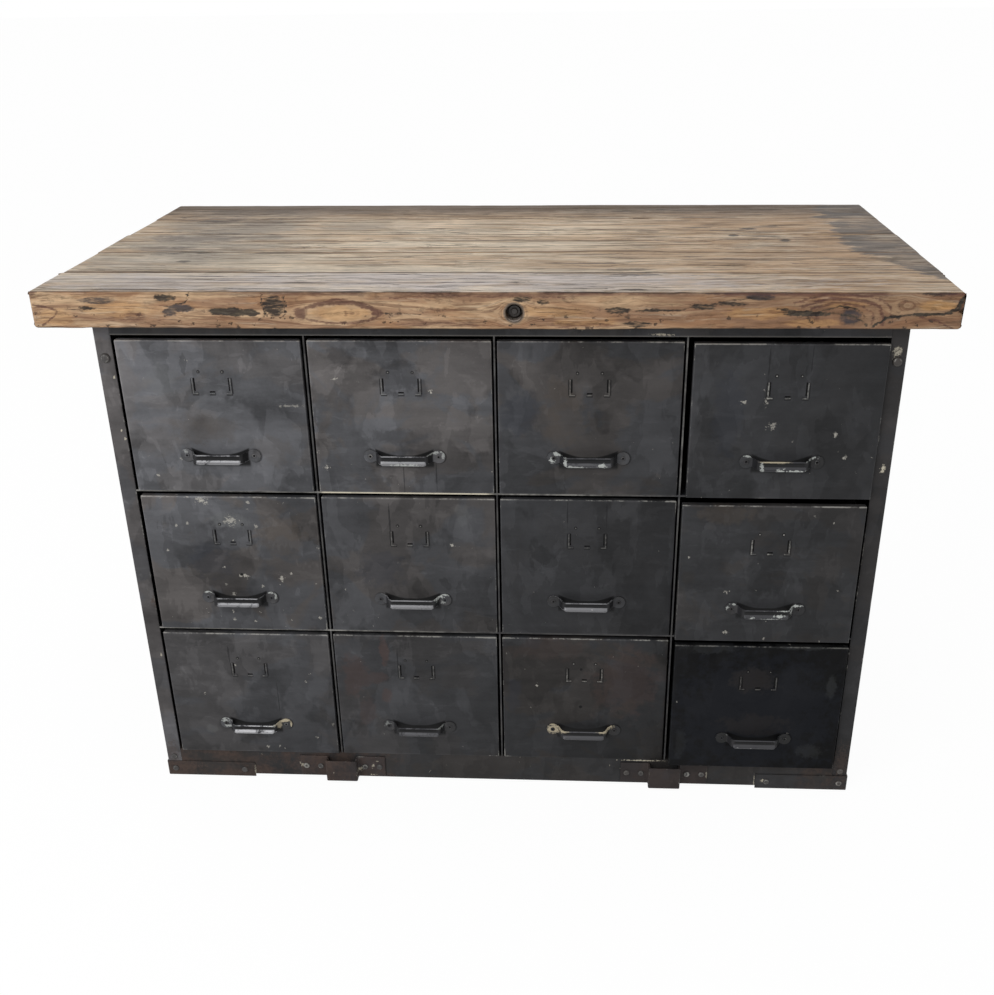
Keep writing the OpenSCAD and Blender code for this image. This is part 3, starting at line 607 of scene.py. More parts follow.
def steelPaint(name, level, tint, warm, wear, rustAmount, chips, edge=None):
    # level is a plain grey, "post" or "drawer"; rust may be a pair, in the middle and at the ends
    # edge names an attribute that is 1 at worn edges
    material, tree, shader, where = newMaterial(name)
    axes = split(where)
    if level == "post":
        # the posts are paler at the left and higher up, the same fall as the drawers and partly painted
        # light; paler still low down at the left
        level = axes[0] * (-28 / 255) + (axes[2] * (11 / 255) + 61 / 255)
        foot = rise(axes[2], 0.2, 0.03) * rise(axes[0], 0.2, -0.3) * (14 / 255)
        level = (level + foot) ** 2.2
    elif level == "drawer":
        level = fadeAndLightFall(where)
    moved = stretch(where, (1, 1, 1), (len(name) * 0.7, 0, 1.3))
    look = useGroup(patina, Vector=moved, Base=greyOf(level, tint), Cloudy=0.8, Streaky=0.5, Warm=warm)
    colour = look["Colour"]
    if isinstance(rustAmount, tuple):
        rustAmount = most(rise(axes[0], 0.0, -0.32, *rustAmount), rise(axes[0], 0.44, 0.6, *rustAmount))
    bloom = useGroup(rust, Vector=where, Amount=rustAmount)
    colour = mixColour(bloom["Mask"] * 0.85, colour, bloom["Colour"])
    marks = paintMarks.get(name, {})
    ragged = (cloud(where, 240, 4, 0.7) - 0.44) * 5.0
    if marks.get("brown"):
        colour = mixColour(spots(where, marks["brown"], ragged), colour, bloom["Colour"])
    if edge:
        worn = useGroup(edgeWear, Vector=where, Near=attribute(tree, edge), Amount=wear)["Mask"]
        colour = mixColour(worn * 0.55, colour, steelLook["bare"])
        # rivet bores painted black as the shade inside them
        colour = mixColour(attribute(tree, "hole"), colour, markColours["hole"])
    if name == "railPaint":
        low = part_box("top_frame")[0].z
        colour = mixColour(rise(axes[2], low + 0.003, low, 0.0, 0.28), colour, steelLook["bare"])
    chip = useGroup(flecks, Vector=where, Scale=95.0, Amount=chips, Size=0.27, Cluster=6.0)["Mask"]
    chip *= 0.65
    if marks.get("chip"):
        front = rise(axes[1], -0.32, -0.33)
        chip = most(chip, spots(where, marks["chip"], ragged) * front)
    colour = mixColour(chip, colour, steelLook["cream"])
    if name == "trayPaint":
        # painted shade: the outer face of the tray's front wall is black, so the slots in the front look
        # dark
        colour = mixColour(rise(axes[1], -0.31, -0.318), colour, markColours["hole"])
    gloss = 0.22
    if name == "rivetSteel":
        feed(shader.inputs["Metallic"], worn * 0.7)
        gloss = 0.5
    rough = bloom["Mask"] * 0.2 + look["Rough"]
    finishPaint(shader, colour, rough, gloss, look["Height"] - chip * 0.6, 0.0006)
    return material


def atHeight(up, lo, hi, soft=0.0015):
    # 1 between the lower and upper faces of a box
    return rise(up, lo.z - soft, lo.z) * rise(up, hi.z + soft, hi.z)


def gridPaint():
    # shelves and dividers: dark sheet whose front edges are rubbed, the shelf lips brightest at the left
    material, _, shader, where = newMaterial("gridPaint")
    axes = split(where)
    look = useGroup(patina, Vector=where, Base=tone(40, 40, 42), Cloudy=0.8, Streaky=0.5, Warm=0.5)
    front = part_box("shelf_upper")[0].y
    lip = rise(axes[1], front + 0.0009, front + 0.0003)
    upper, lower = (atHeight(axes[2], *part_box(name)) for name in ("shelf_upper", "shelf_lower"))
    broken = cloud(stretch(where, (1, 1, 1), (0.4, 0, 0.9)), 34, 4, 0.65)
    cream = upper * rise(axes[0], -0.293, -0.283) * rise(axes[0], 0.004, -0.014)
    cream *= rise(broken, 0.3, 0.5, 0.55, 1.0)
    part = upper * rise(axes[0], 0.2, 0.14, 0.16, 0.45)
    part = most(part, lower * rise(axes[0], 0.0, -0.24, 0.1, 0.5))
    bar = 1.0 - most(upper, lower)
    part = most(part, bar * rise(axes[0] + axes[2], 0.75, 0.95, 0.12, 0.3))
    part *= rise(broken, 0.38, 0.6, 0.4, 1.3)
    colour = mixColour(lip * part, look["Colour"], steelLook["bare"])
    colour = mixColour(lip * cream, colour, steelLook["cream"])
    finishPaint(shader, colour, look["Rough"], 0.22, look["Height"], 0.0004)
    return material


# old paint left on the pulls, in mm from the middle of each: across, up, reach across, reach up, strength
# dull ones were never rubbed bright
pullMarks = {
    "11": dict(white=[(-57, 7, 4, 4, 0.5)]),
    "12": dict(white=[(49, 8, 9, 2.5, 0.7), (64, 3, 3, 6, 0.5), (4, -8, 24, 2, 0.8)]),
    "13": dict(dull=0.62, white=[(-60, -3, 5, 5, 0.9), (-51, 7, 5, 5, 0.8), (-37, -3, 3, 9, 0.8),
                                 (-20, -8, 16, 2, 0.8), (22, -6, 6, 3, 0.9), (-44, 9, 10, 2, 0.7)]),
    "14": dict(dull=0.5, white=[(-4, -8, 7, 3, 1), (20, -8, 15, 2, 1), (-33, -5, 3, 9, 0.7),
                                (41, 9, 12, 3, 0.8), (-54, 10, 10, 2, 0.7)], cream=[(-12, 7, 24, 3, 0.9)]),
    "21": dict(white=[(-57, 10, 9, 2.5, 0.9), (50, 10, 12, 2, 0.8), (63, 4, 2, 6, 0.6)]),
    "22": dict(white=[(46, 7, 8, 5, 0.9), (54, 10, 9, 2, 0.8), (53, -4, 4, 4, 0.5)]),
    "24": dict(dull=0.55, white=[(43, 8, 20, 3, 0.9), (43, 1, 3, 6, 0.8), (22, -4, 9, 2.4, 0.9),
                                 (-24, -7, 4, 2, 1), (4, -8, 16, 1, 0.7), (-52, 9, 7, 2, 0.7),
                                 (-63, 2, 3, 4, 0.7)]),
    "31": dict(dull=1.25, white=[(-57, 6, 8, 5, 0.7), (-52, -6, 6, 3, 0.7), (36, 8, 5, 4, 0.8)],
               cream=[(48, 9, 18, 5, 1), (66, 0, 2.5, 10, 0.9), (45, 2, 3, 8, 0.9)]),
    "32": dict(dull=0.66, white=[(40, 8, 8, 3, 0.4), (-58, 4, 5, 5, 0.3)]),
    "33": dict(dull=0.66, cream=[(-40, 8, 13, 5.5, 1), (40, 8, 14, 6, 1), (-56, 0, 12, 9, 0.9),
                                 (-54, 11, 12, 3, 0.9)]),
    "34": dict(dull=0.58)}


def pullSteel(key, row, column):
    material, tree, shader, where = newMaterial("pullSteel" + key)
    marks, (lo, hi) = pullMarks.get(key, {}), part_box("front_" + key)
    ear, sootAndShade, rubAndHighlight = attribute(tree, "ear"), attribute(tree, "sootAndShade"), attribute(tree, "wear")
    level = fadeAndLightFall(where) * drawerMarks[key].get("deep", 1.0)
    base = mixColour(ear, tone(48, 48, 50), greyOf(level))
    close = stretch(where, (1.4, 1.4, 1.4))
    look = useGroup(patina, Vector=close, Base=base, Cloudy=0.9, Streaky=0.5, Warm=0.3)
    # painted shade on the legs and inside the trough
    colour = mixColour(sootAndShade * 0.92, look["Colour"], steelLook["shadeBlack"])
    worn = useGroup(edgeWear, Vector=stretch(where, (1.6, 1.6, 1.6)), Near=rubAndHighlight, Amount=0.82)["Mask"]
    # the bright lines: rubbed bare metal and painted highlight; darker to the right and down, painted light
    # like the paint's fall
    shine = min(190, (156 - 8 * (column - 1) - 6 * (row - 1)) * marks.get("dull", 1.0))
    colour = mixColour(worn * 0.85, colour, tone(shine, shine, shine + 3))
    speck = useGroup(flecks, Vector=where, Scale=170.0, Amount=0.5, Size=0.34, Cluster=30.0)["Mask"]
    colour = mixColour(speck * rubAndHighlight * 0.5, colour, tone(206, 207, 204))
    torn = (cloud(where, 230, 4, 0.7) - 0.46) * 5.0
    local = vector("SUBTRACT", where, ((lo.x + hi.x) / 2, 0, lo.z + pullLook["up"]))
    patch = 0.0
    for kind, paint in (("cream", tone(198, 186, 160)), ("white", tone(204, 208, 204))):
        if marks.get(kind):
            patch = spots(local, marks[kind], torn * 0.4 if kind == "cream" else torn) * 0.9
            colour = mixColour(patch, colour, paint)
    feed(shader.inputs["Metallic"], calc("SUBTRACT", worn, patch, clamp=True) * 0.3)
    finishPaint(shader, colour, 0.55 - worn * 0.2, 0.3, look["Height"] + patch * 0.6, 0.0005)
    return material


carcassPaint = steelPaint("carcassPaint", 0.034, (1.0, 1.0, 1.03), 0.5, 0.4, 0.10, 0.10)
railPaint = steelPaint("railPaint", 0.035, (1.0, 1.0, 1.0), 0.5, 0.4, 0.08, 0.10)
postPaint = steelPaint("postPaint", "post", (1.03, 1.0, 0.98), 0.45, 0.18, 0.14, 0.14, "wear")
plinthPaint = steelPaint("plinthPaint", 0.025, (1.03, 1.0, 0.97), 0.7, 0.06, (0.2, 0.86), 0.24, "wear")
socketPaint = steelPaint("socketPaint", 0.028, (1.2, 0.97, 0.9), 0.6, 0.16, (0.3, 0.86), 0.24, "wear")
trayPaint = steelPaint("trayPaint", 0.018, (1.0, 1.0, 1.02), 0.4, 0.3, 0.12, 0.05)
rivetSteel = steelPaint("rivetSteel", 0.040, (1.10, 1.0, 0.90), 0.6, 0.46, (0.2, 0.5), 0.02, "wear")
earSteel = steelPaint("earSteel", "drawer", (1.0, 1.0, 1.0), 0.4, 0.30, 0.05, 0.02, "wear")
gridSteel = gridPaint()
print("paint looks ready")


# mesh helpers

def wave(place):
    # smooth noise from -1 to 1
    return noise.noise(place)


def share(value):
    return min(1.0, max(0.0, value))


def linkNew(name, data):
    made = bpy.data.objects.new(name, data)
    bpy.context.scene.collection.objects.link(made)
    return made


def dress(mesh, material):
    mesh.materials.clear()
    mesh.materials.append(material)


def smooth(mesh, degrees):
    mesh.shade_smooth()
    mesh.set_sharp_from_angle(angle=math.radians(degrees))


def newPiece(name, mesh, body, material, slot, *stands):
    piece = linkNew(name, mesh)
    if material:
        dress(mesh, material)
    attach(piece, body)
    if stands:
        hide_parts(*stands)
    return piece


def finishMesh(piece):
    # turns live modifiers into a plain mesh
    done = bpy.data.meshes.new_from_object(piece.evaluated_get(bpy.context.evaluated_depsgraph_get()))
    old = piece.data
    piece.modifiers.clear()
    piece.data = done
    bpy.data.meshes.remove(old)


def meshFrom(name, verts, faces, smoothAngle=None):
    mesh = bpy.data.meshes.new(name)
    mesh.from_pydata(verts, [], faces)
    mesh.validate()
    if smoothAngle is not None:
        smooth(mesh, smoothAngle)
    return mesh


def tubeFaces(rings, count):
    # the sides and both ends of a tube of rings that have count points each
    faces = []
    for k in range(0, (rings - 1) * count, count):
        for i in range(count):
            j = (i + 1) % count
            faces.append((k + i, k + j, k + count + j, k + count + i))
    return faces + [tuple(reversed(range(count))), tuple(range((rings - 1) * count, rings * count))]


def putFloats(mesh, name, values):
    layer = mesh.attributes.new(name, "FLOAT", "POINT")
    layer.data.foreach_set("value", values)


def putVectors(mesh, name, values):
    layer = mesh.attributes.new(name, "FLOAT_VECTOR", "POINT")
    layer.data.foreach_set("vector", [c for v in values for c in v])


def outwardFaces(mesh):
    bm = bmesh.new()
    bm.from_mesh(mesh)
    bmesh.ops.recalc_face_normals(bm, faces=bm.faces)
    bm.to_mesh(mesh)
    bm.free()


def roundedOutline(points, radius, flank=0.004, turns=3):
    # corner arcs carry wear 1 and the points beside them wear 0
    out, count = [], len(points)
    for i, p in enumerate(points):
        p, before, after = Vector(p), Vector(points[i - 1]), Vector(points[(i + 1) % count])
        a, b = (before - p), (after - p)
        la, lb = a.length, b.length
        a.normalize()
        b.normalize()
        half = a.angle(b) / 2
        cut = min(radius / math.tan(half), la * 0.45, lb * 0.45)
        rad = cut * math.tan(half)
        centre = p + (a + b).normalized() * (rad / math.sin(half))
        if la > 2.5 * flank:
            out.append((p + a * (cut + flank), 0.0))
        start, stop = p + a * cut - centre, p + b * cut - centre
        for k in range(turns + 1):
            spoke = start.lerp(stop, k / turns)
            spoke = spoke.normalized() * rad if spoke.length > 1e-9 else spoke
            out.append((centre + spoke, 1.0))
        if lb > 2.5 * flank:
            out.append((p + b * (cut + flank), 0.0))
    return out


def upright(name, outline, low, high, radius, pitch):
    # a bar of the given plan, standing from low to high, with rounded edges
    ring = roundedOutline(outline, radius)
    ends, bevel = min(0.004, (high - low) / 4), 0.0006
    plain = high - low - 2 * ends
    steps = max(1, int(plain / pitch))
    heights = [(low, 1.0, bevel), (low + bevel, 1.0, 0.0), (low + ends, 0.0, 0.0)]
    heights += [(low + ends + plain * k / steps, 0.0, 0.0) for k in range(1, steps)]
    heights += [(high - ends, 0.0, 0.0), (high - bevel, 1.0, 0.0), (high, 1.0, bevel)]
    area = sum(a[0].x * b[0].y - b[0].x * a[0].y for a, b in zip(ring, ring[1:] + ring[:1]))
    if area < 0:
        ring.reverse()
    n = len(ring)
    inward = []
    for i in range(n):
        tangent = ring[(i + 1) % n][0] - ring[i - 1][0]
        inward.append(Vector((-tangent.y, tangent.x)).normalized())
    verts, wear = [], []
    for z, near, inset in heights:
        for (p, w), side in zip(ring, inward):
            q = p + side * inset
            verts.append((q.x, q.y, z))
            wear.append(max(w, near))
    mesh = meshFrom(name, verts, tubeFaces(len(heights), n), 50)
    putFloats(mesh, "wear", wear)
    return mesh


# worktop planks

tieBolt = dict(x=0.040, z=0.898, bore=0.013, depth=0.022, washer=0.0115, flats=0.017, nutHigh=0.008,
               washerHigh=0.002, rod=0.005, rodHigh=0.013, sides=48)
plankLook = dict(step=0.0055, fineStep=0.0018, corner=0.0024, ragged=0.0035, wave=0.0007, frontRows=36,
                 endRows=9, jointRows=4, lowRows=6, topStep=0.006, grain=0.0003, split=0.006, splitUp=0.901,
                 splitHigh=0.003, splitFrom=0.69, lowRise=0.0022, lowFrom=0.15, lowOver=0.14,
                 lowRough=0.0012, rightEnd=0.002, endSteps=(0.0015, 0.004),
                 ends=[-0.002, 0.003, 0.0, 0.003, 0.0], carve=0.0022,
                 endFront=(0.0052, 0.0022, 0.0005, 0.0), endOther=(0.0016, 0.0004, 0.0, 0.0))
# marks on the front edge in mm: kind, middle, reach, strength; and kind, width, strength, path
edgeBlobs = [
    ("stain", -614, 903.5, 15, 2.6, 0.8), ("red", -540, 892, 17, 10, 0.5), ("red", -572, 888, 20, 5, 0.35),
    ("stain", -491, 919.5, 18, 5.5, 0.85), ("stain", -411, 899, 17, 5, 1.0),
    ("stain", -388, 898, 20, 6.5, 1.0), ("stain", -363, 897, 14, 5, 1.0),
    ("stain", -325, 908, 15.5, 17, 0.72), ("stain", 52, 918.5, 15, 5, 0.75), ("stain", 84, 914, 8, 4, 0.7),
    ("stain", 194, 902, 20, 5.5, 0.75), ("stain", 250, 902, 32, 2.6, 0.7),
    ("stain", 321, 908, 20, 4.5, 0.75), ("stain", 366, 912, 24, 3, 0.7), ("stain", 225, 881, 25, 4.5, 0.65),
    ("blue", 540, 893, 16, 12, 0.74), ("stain", 480, 898, 38, 4.2, 0.95), ("stain", 662, 928, 27, 4, 0.85),
    ("red", 698, 910, 6, 10, 1.0), ("red", -697, 927, 8, 4, 0.7),
    ("red", -167, 896, 10, 3.5, 0.9), ("blue", -598, 915.5, 32, 5, 0.7), ("blue", -470, 904, 20, 6, 0.95),
    ("blue", -486, 897, 12, 6, 0.9), ("blue", 405, 922.5, 20, 5, 0.9),
    ("blue", 390, 929, 90, 2.5, 0.7), ("red", -284, 896, 13, 9, 0.9), ("red", -60, 880, 90, 5, 0.5),
    ("red", 150, 879, 60, 4, 0.5), ("red", 520, 893, 40, 12, 0.45)]
edgeStrokes = [
    ("stain", 1.1, 0.7, [(-496, 905), (-459, 913), (-452, 928)]),
    ("stain", 1.3, 0.8, [(-342, 925), (-341, 890)]), ("stain", 1.3, 0.8, [(-308, 925), (-309, 890)]),
    ("red", 3.4, 0.9, [(-288, 896), (-270, 906), (-245, 912.5), (-205, 912.5), (-180, 906), (-160, 897)]),
    ("red", 2.2, 0.75, [(-288, 896), (-270, 887), (-245, 882), (-205, 881), (-180, 886), (-160, 896)]),
    ("red", 2.4, 0.8, [(-262, 911), (-230, 917), (-195, 913), (-172, 905)]),
    ("stain", 1.6, 0.6, [(280, 903), (330, 911), (401, 923)]),
    ("stain", 1.2, 0.6, [(-165, 896), (-130, 897), (-100, 895)]),
    ("red", 2.0, 0.6, [(-150, 921), (-40, 924), (120, 922)]),
    ("stain", 1.6, 0.8, [(430, 904), (470, 900), (520, 899), (548, 893), (566, 880)]),
    ("stain", 1.8, 0.8, [(575, 878), (590, 892), (632, 897)]),
    ("red", 1.4, 0.8, [(640, 894), (665, 888), (694, 874)]),
    ("red", 2.6, 0.8, [(467, 909), (507, 921), (560, 917), (580, 909), (588, 882)]),
    ("red", 2.2, 0.7, [(482, 905), (510, 914), (556, 910), (570, 900), (573, 882)]),
    ("stain", 1.6, 0.7, [(498, 903), (520, 908), (550, 905), (560, 893)]),
    ("red", 2.0, 0.7, [(455, 914), (500, 927), (566, 924), (592, 914), (601, 890)]),
    ("red", 1.5, 0.5, [(610, 908), (617, 918), (628, 917), (629, 907), (619, 905)]),
    ("stain", 2.4, 1.0, [(632, 897), (677, 898), (696, 905), (702, 924)]),
    ("red", 1.8, 0.8, [(-699, 909), (-676, 905), (-662, 899), (-671, 888), (-689, 877)]),
    ("stain", 2.0, 1.0, [(682, 899), (692, 908), (702, 924)])]
edgeKnots = [(-225, 896.5, 70, 15), (540, 893, 52, 20), (40, 898, 22, 16), (619, 911, 16, 9)]


def edgeMarks(x, z):
    # strengths of the three stains at points of the front edge, in mm
    along = [wave((a * 0.05, b * 0.14, 2.7)) * 4 + wave((a * 0.3, b * 0.5, 5.1)) * 3.4 for a,
             b in zip(x, z)]
    up = [wave((a * 0.04, b * 0.12, 8.3)) * 1.6 + wave((a * 0.25, b * 0.4, 1.9)) * 1.7 for a,
          b in zip(x, z)]
    x, z = x + np.array(along), z + np.array(up)
    out = {kind: np.zeros(len(x)) for kind in ("stain", "blue", "red")}
    for kind, cx, cz, rx, rz, strength in edgeBlobs:
        far = np.hypot((x - cx) / rx, (z - cz) / rz)
        out[kind] = np.maximum(out[kind], strength * np.clip((1.25 - far) / 0.5, 0, 1))
    for kind, width, strength, path in edgeStrokes:
        far = np.full(len(x), 1e6)
        for (ax, az), (bx, bz) in zip(path, path[1:]):
            dx, dz = bx - ax, bz - az
            t = np.clip(((x - ax) * dx + (z - az) * dz) / (dx ** 2 + dz ** 2), 0, 1)
            far = np.minimum(far, np.hypot(x - ax - t * dx, z - az - t * dz))
        out[kind] = np.maximum(out[kind], strength * np.clip(1.5 - far / width, 0, 1))
    return out


def grainFlow(x, z):
    # height that a grain line of the front edge comes from, in mm: lines part round the knots
    flow = z.copy()
    for cx, cz, rx, rz in edgeKnots:
        far = np.maximum(np.hypot((x - cx) / rx, (z - cz) / rz), 0.05)
        flow -= np.where(far > 1, (z - cz) / far ** 3, (z - cz) - 5 * (1 - far))
    return flow


def plankRing(index, x, lo, hi, rowCounts):
    # outline across a plank at x: point, 1 on an arris, way inwards, and whether it is seen in front
    look, radii, low = plankLook, [], lo.z
    for c in range(4):
        bite = wave((x * 9 + c * 17.3, index * 4.1, 0.3)) + wave((x * 41 + c * 7.7, index * 2.3, 4.3))
        inner = (c == 1 and index > 1) or (c == 2 and index < 5)
        radius = look["corner"] + look["ragged"] * max(0.0, bite * 0.5 + 0.15)
        radii.append(radius * (0.5 if inner else 1.0))
    if index == 1:
        low += look["lowRise"] * share((x - look["lowFrom"]) / look["lowOver"])
        low += look["lowRough"] * max(0.0, wave((x * 33, 2.2, 7.1)))
    corners = [Vector(p) for p in ((lo.y, low), (lo.y, hi.z), (hi.y, hi.z), (hi.y, lo.z))]
    ways = [(corners[(s + 1) % 4] - corners[s]).normalized() for s in range(4)]
    ring = []
    for s, rows in enumerate(rowCounts):
        after = (s + 1) % 4
        a, b, ra, rb = corners[s], corners[after], radii[s], radii[after]
        inward, nextIn = (Vector((way.y, -way.x)) for way in (ways[s], ways[after]))
        flat = (b - a).length - ra - rb
        ring += [(a + ways[s] * (ra + flat * r / rows), 0.0, inward, s == 0) for r in range(rows + 1)]
        centre = b - ways[s] * rb + ways[after] * rb
        for t in (0.25, 0.5, 0.75):
            out = (-inward).lerp(-nextIn, t).normalized()
            ring.append((centre + out * rb, 1.0, -out, s in (0, 3)))
    return ring


def makePlank(index):
    look = plankLook
    lo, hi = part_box("plank_%d" % index)
    count = int((hi.x - lo.x) / (look["fineStep"] if index == 1 else look["step"]))
    frontRows = look["frontRows"] if index == 1 else look["endRows"]
    backRows = look["endRows"] if index == 5 else look["jointRows"]
    rowCounts = [frontRows, int((hi.y - lo.y) / look["topStep"]), backRows, look["lowRows"]]
    verts, arris, front = [], [], []
    first, last = lo.x + look["ends"][index - 1], hi.x + look["rightEnd"]
    near, far = look["endSteps"]
    xs = [first + far + (last - first - 2 * far) * k / count for k in range(count + 1)]
    xs = [first, first + near, *xs, last - near, last]
    insets = look["endFront"] if index == 1 else look["endOther"]
    for k, x in enumerate(xs):
        inset = insets[min(k, len(xs) - 1 - k, 3)]
        for p, edge, inward, shown in plankRing(index, x, lo, hi, rowCounts):
            dip = look["wave"] * (wave((x * 4, p.x * 22 + index, p.y * 22)) * 0.5 + 0.5)
            dip += look["grain"] * (wave((x * 9, p.x * 260, p.y * 260)) + 1)
            q = p + inward * (dip + inset)
            notch = 0.0
            if index == 1 and x > look["splitFrom"]:
                notch = look["split"] * math.exp(-((p.y - look["splitUp"]) / look["splitHigh"]) ** 2)
            front.append(index == 1 and shown)
            verts.append((x - notch, q.x, q.y))
            arris.append(edge)
    perRing = len(verts) // len(xs)
    if index == 1:
        # stains on the front edge sit in shallow hollows
        ids = np.flatnonzero(front)
        points = np.array(verts)
        found = edgeMarks(points[ids, 0] / mm, points[ids, 2] / mm)
        rough = np.array([0.55 + 0.9 * wave((a * 90, b * 150, 1.1)) for a, b in points[ids][:, (0, 2)]])
        sunk = np.maximum(found["stain"], 0.4 * found["blue"])
        points[ids, 1] += look["carve"] * sunk * np.clip(rough, 0, 1.2)
        verts = points.tolist()
        flow = np.zeros(len(verts))
        flow[ids] = grainFlow(points[ids, 0] / mm, points[ids, 2] / mm) * mm
        marks = np.zeros((len(verts), 3))
        for column, kind in enumerate(("stain", "blue", "red")):
            marks[ids, column] = found[kind]
    faces = []
    for k in range(len(xs) - 1):
        for i in range(perRing):
            j = (i + 1) % perRing
            faces.append((k * perRing + i, (k + 1) * perRing + i, (k + 1) * perRing + j, k * perRing + j))
    faces.append(tuple(range(perRing)))
    faces.append(tuple((len(xs) - 1) * perRing + i for i in reversed(range(perRing))))
    mesh = meshFrom("plank%d" % index, verts, faces, 55)
    putFloats(mesh, "arris", arris)
    if index == 1:
        putVectors(mesh, "marks", marks.tolist())
        putFloats(mesh, "flow", flow.tolist())
    return mesh


def cutRound(piece, centre, radius, depth):
    # counterbore for the tie rod, sunk from one long face
    bm = bmesh.new()
    bmesh.ops.create_cone(bm, cap_ends=True, segments=40, radius1=radius, radius2=radius, depth=depth * 2)
    bm.transform(Matrix.Translation(centre) @ Matrix.Rotation(math.radians(90), 4, "X"))
    tool = bpy.data.meshes.new("boreTool")
    bm.to_mesh(tool)
    bm.free()
    bore = linkNew("boreTool", tool)
    cut = piece.modifiers.new("bore", "BOOLEAN")
    cut.operation, cut.object, cut.solver = "DIFFERENCE", bore, "MANIFOLD"
    finishMesh(piece)
    bpy.data.objects.remove(bore)
    bpy.data.meshes.remove(tool)


for index in range(1, 6):
    piece = newPiece("board%d" % index, makePlank(index), "frame", None, "timber", "plank_%d" % index)
    lo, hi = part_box("plank_%d" % index)
    if index in (1, 5):
        centre = (tieBolt["x"], lo.y if index == 1 else hi.y, tieBolt["z"])
        cutRound(piece, centre, tieBolt["bore"], tieBolt["depth"])
    dress(piece.data, timber(index))
print("planks made")


# corner posts, sockets and corner plates

def angleOutline(name, thick):
    # an L seen from above, its heel at the outer corner
    lo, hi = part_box(name)
    x0, x1 = (lo.x, hi.x) if "left" in name else (hi.x, lo.x)
    y0, y1 = (hi.y, lo.y) if "back" in name else (lo.y, hi.y)
    sx, sy = math.copysign(thick, x1 - x0), math.copysign(thick, y1 - y0)
    return [(x0, y0), (x1, y0), (x1, y0 + sy), (x0 + sx, y0 + sy), (x0 + sx, y1), (x0, y1)]


def strapOutline(name, thick, half=0.029):
    # a hat seen from above
    lo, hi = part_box(name)
    mid, end, out = (lo.x + hi.x) / 2, (hi.x - lo.x) / 2, hi.y - lo.y
    inner = half - thick
    right = [(inner, thick - out), (inner, 0), (end, 0), (end, -thick), (half, -thick), (half, -out)]
    left = [(-x, y) for x, y in reversed(right)]
    return [(mid + x, hi.y + y) for x, y in right + left]


postLook = dict(ending="Angle", outline=angleOutline, thick=0.003, radius=0.0011, pitch=0.02,
                slot="post_steel")
strapLook = dict(ending="Strap", outline=strapOutline, thick=0.003, radius=0.0024, pitch=0.006,
                 slot="plinth_steel")
plateLook = dict(ending="Bent", outline=angleOutline, thick=0.002, radius=0.0022, pitch=0.006,
                 slot="plinth_steel")


def makeBars(look, paint, names):
    for name in names:
        lo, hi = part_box(name)
        bar = upright(name, look["outline"](name, look["thick"]), lo.z, hi.z, look["radius"], look["pitch"])
        newPiece(name.replace("_", "") + look["ending"], bar, "frame", paint, look["slot"], name)


makeBars(postLook, postPaint, ["post_front_left", "post_front_right", "post_back_right", "post_back_left"])
makeBars(strapLook, socketPaint, ["socket_left", "socket_right"])
makeBars(plateLook, plinthPaint, ["corner_plate_left", "corner_plate_right"])
print("posts and plinth straps made")


# drawer fronts

panLook = dict(sheet=0.0015, fold=0.012, bend=0.0018, dent=0.0004, labelDown=0.069, labelWide=0.064,
               labelHigh=0.038, tabWide=0.0024, tabHigh=0.027, tabFoot=0.009,
               tabOut=0.0016, slot=0.0026, pipX=0.0195, pipUp=0.018, pipR=0.0022, pipOut=0.0009,
               pipSlope=0.0007, root=0.0008, edge=0.006, pitch=0.011)


def slotBoxes(look, labelUp):
    side, low = look["labelWide"] / 2 - look["tabWide"], labelUp - look["labelHigh"] / 2 + look["tabWide"]
    boxes = []
    for way in (-1, 1):
        a, b = sorted((way * side, way * (side - look["slot"])))
        boxes.append((a, b, low + look["slot"], low + look["tabHigh"] - look["tabWide"]))
    boxes.append((-look["tabFoot"] / 2, look["tabFoot"] / 2, low, low + look["slot"]))
    return boxes


def spread(lines, lo, hi, pitch):
    # grid lines at the given places, with more between them no further than pitch apart
    marks = sorted(set([lo, hi] + lines))
    out = [marks[0]]
    for a, b in zip(marks, marks[1:]):
        parts = max(1, math.ceil((b - a) / pitch))
        out += [a + (b - a) * k / parts for k in range(1, parts + 1)]
    return out


def addPlate(bm, outline, back, front, inset=0.0004):
    # a small raised shape with a chamfered face; the outline is anticlockwise seen from the front
    rings, n = [], len(outline)
    for depth, draw in ((back, 0.0), (front + inset, 0.0), (front, inset)):
        ring = []
        for i, p in enumerate(outline):
            q = Vector(p)
            if draw:
                a, b = ((Vector(outline[k % n]) - q).normalized() for k in (i - 1, i + 1))
                q += (a + b) * draw * (-1 if a.x * b.y > a.y * b.x else 1)
            ring.append(bm.verts.new((q.x, depth, q.y)))
        rings.append(ring)
    for a, b in zip(rings, rings[1:]):
        for i in range(n):
            j = (i + 1) % n
            bm.faces.new((a[i], a[j], b[j], b[i]))
    bm.faces.new(rings[-1])


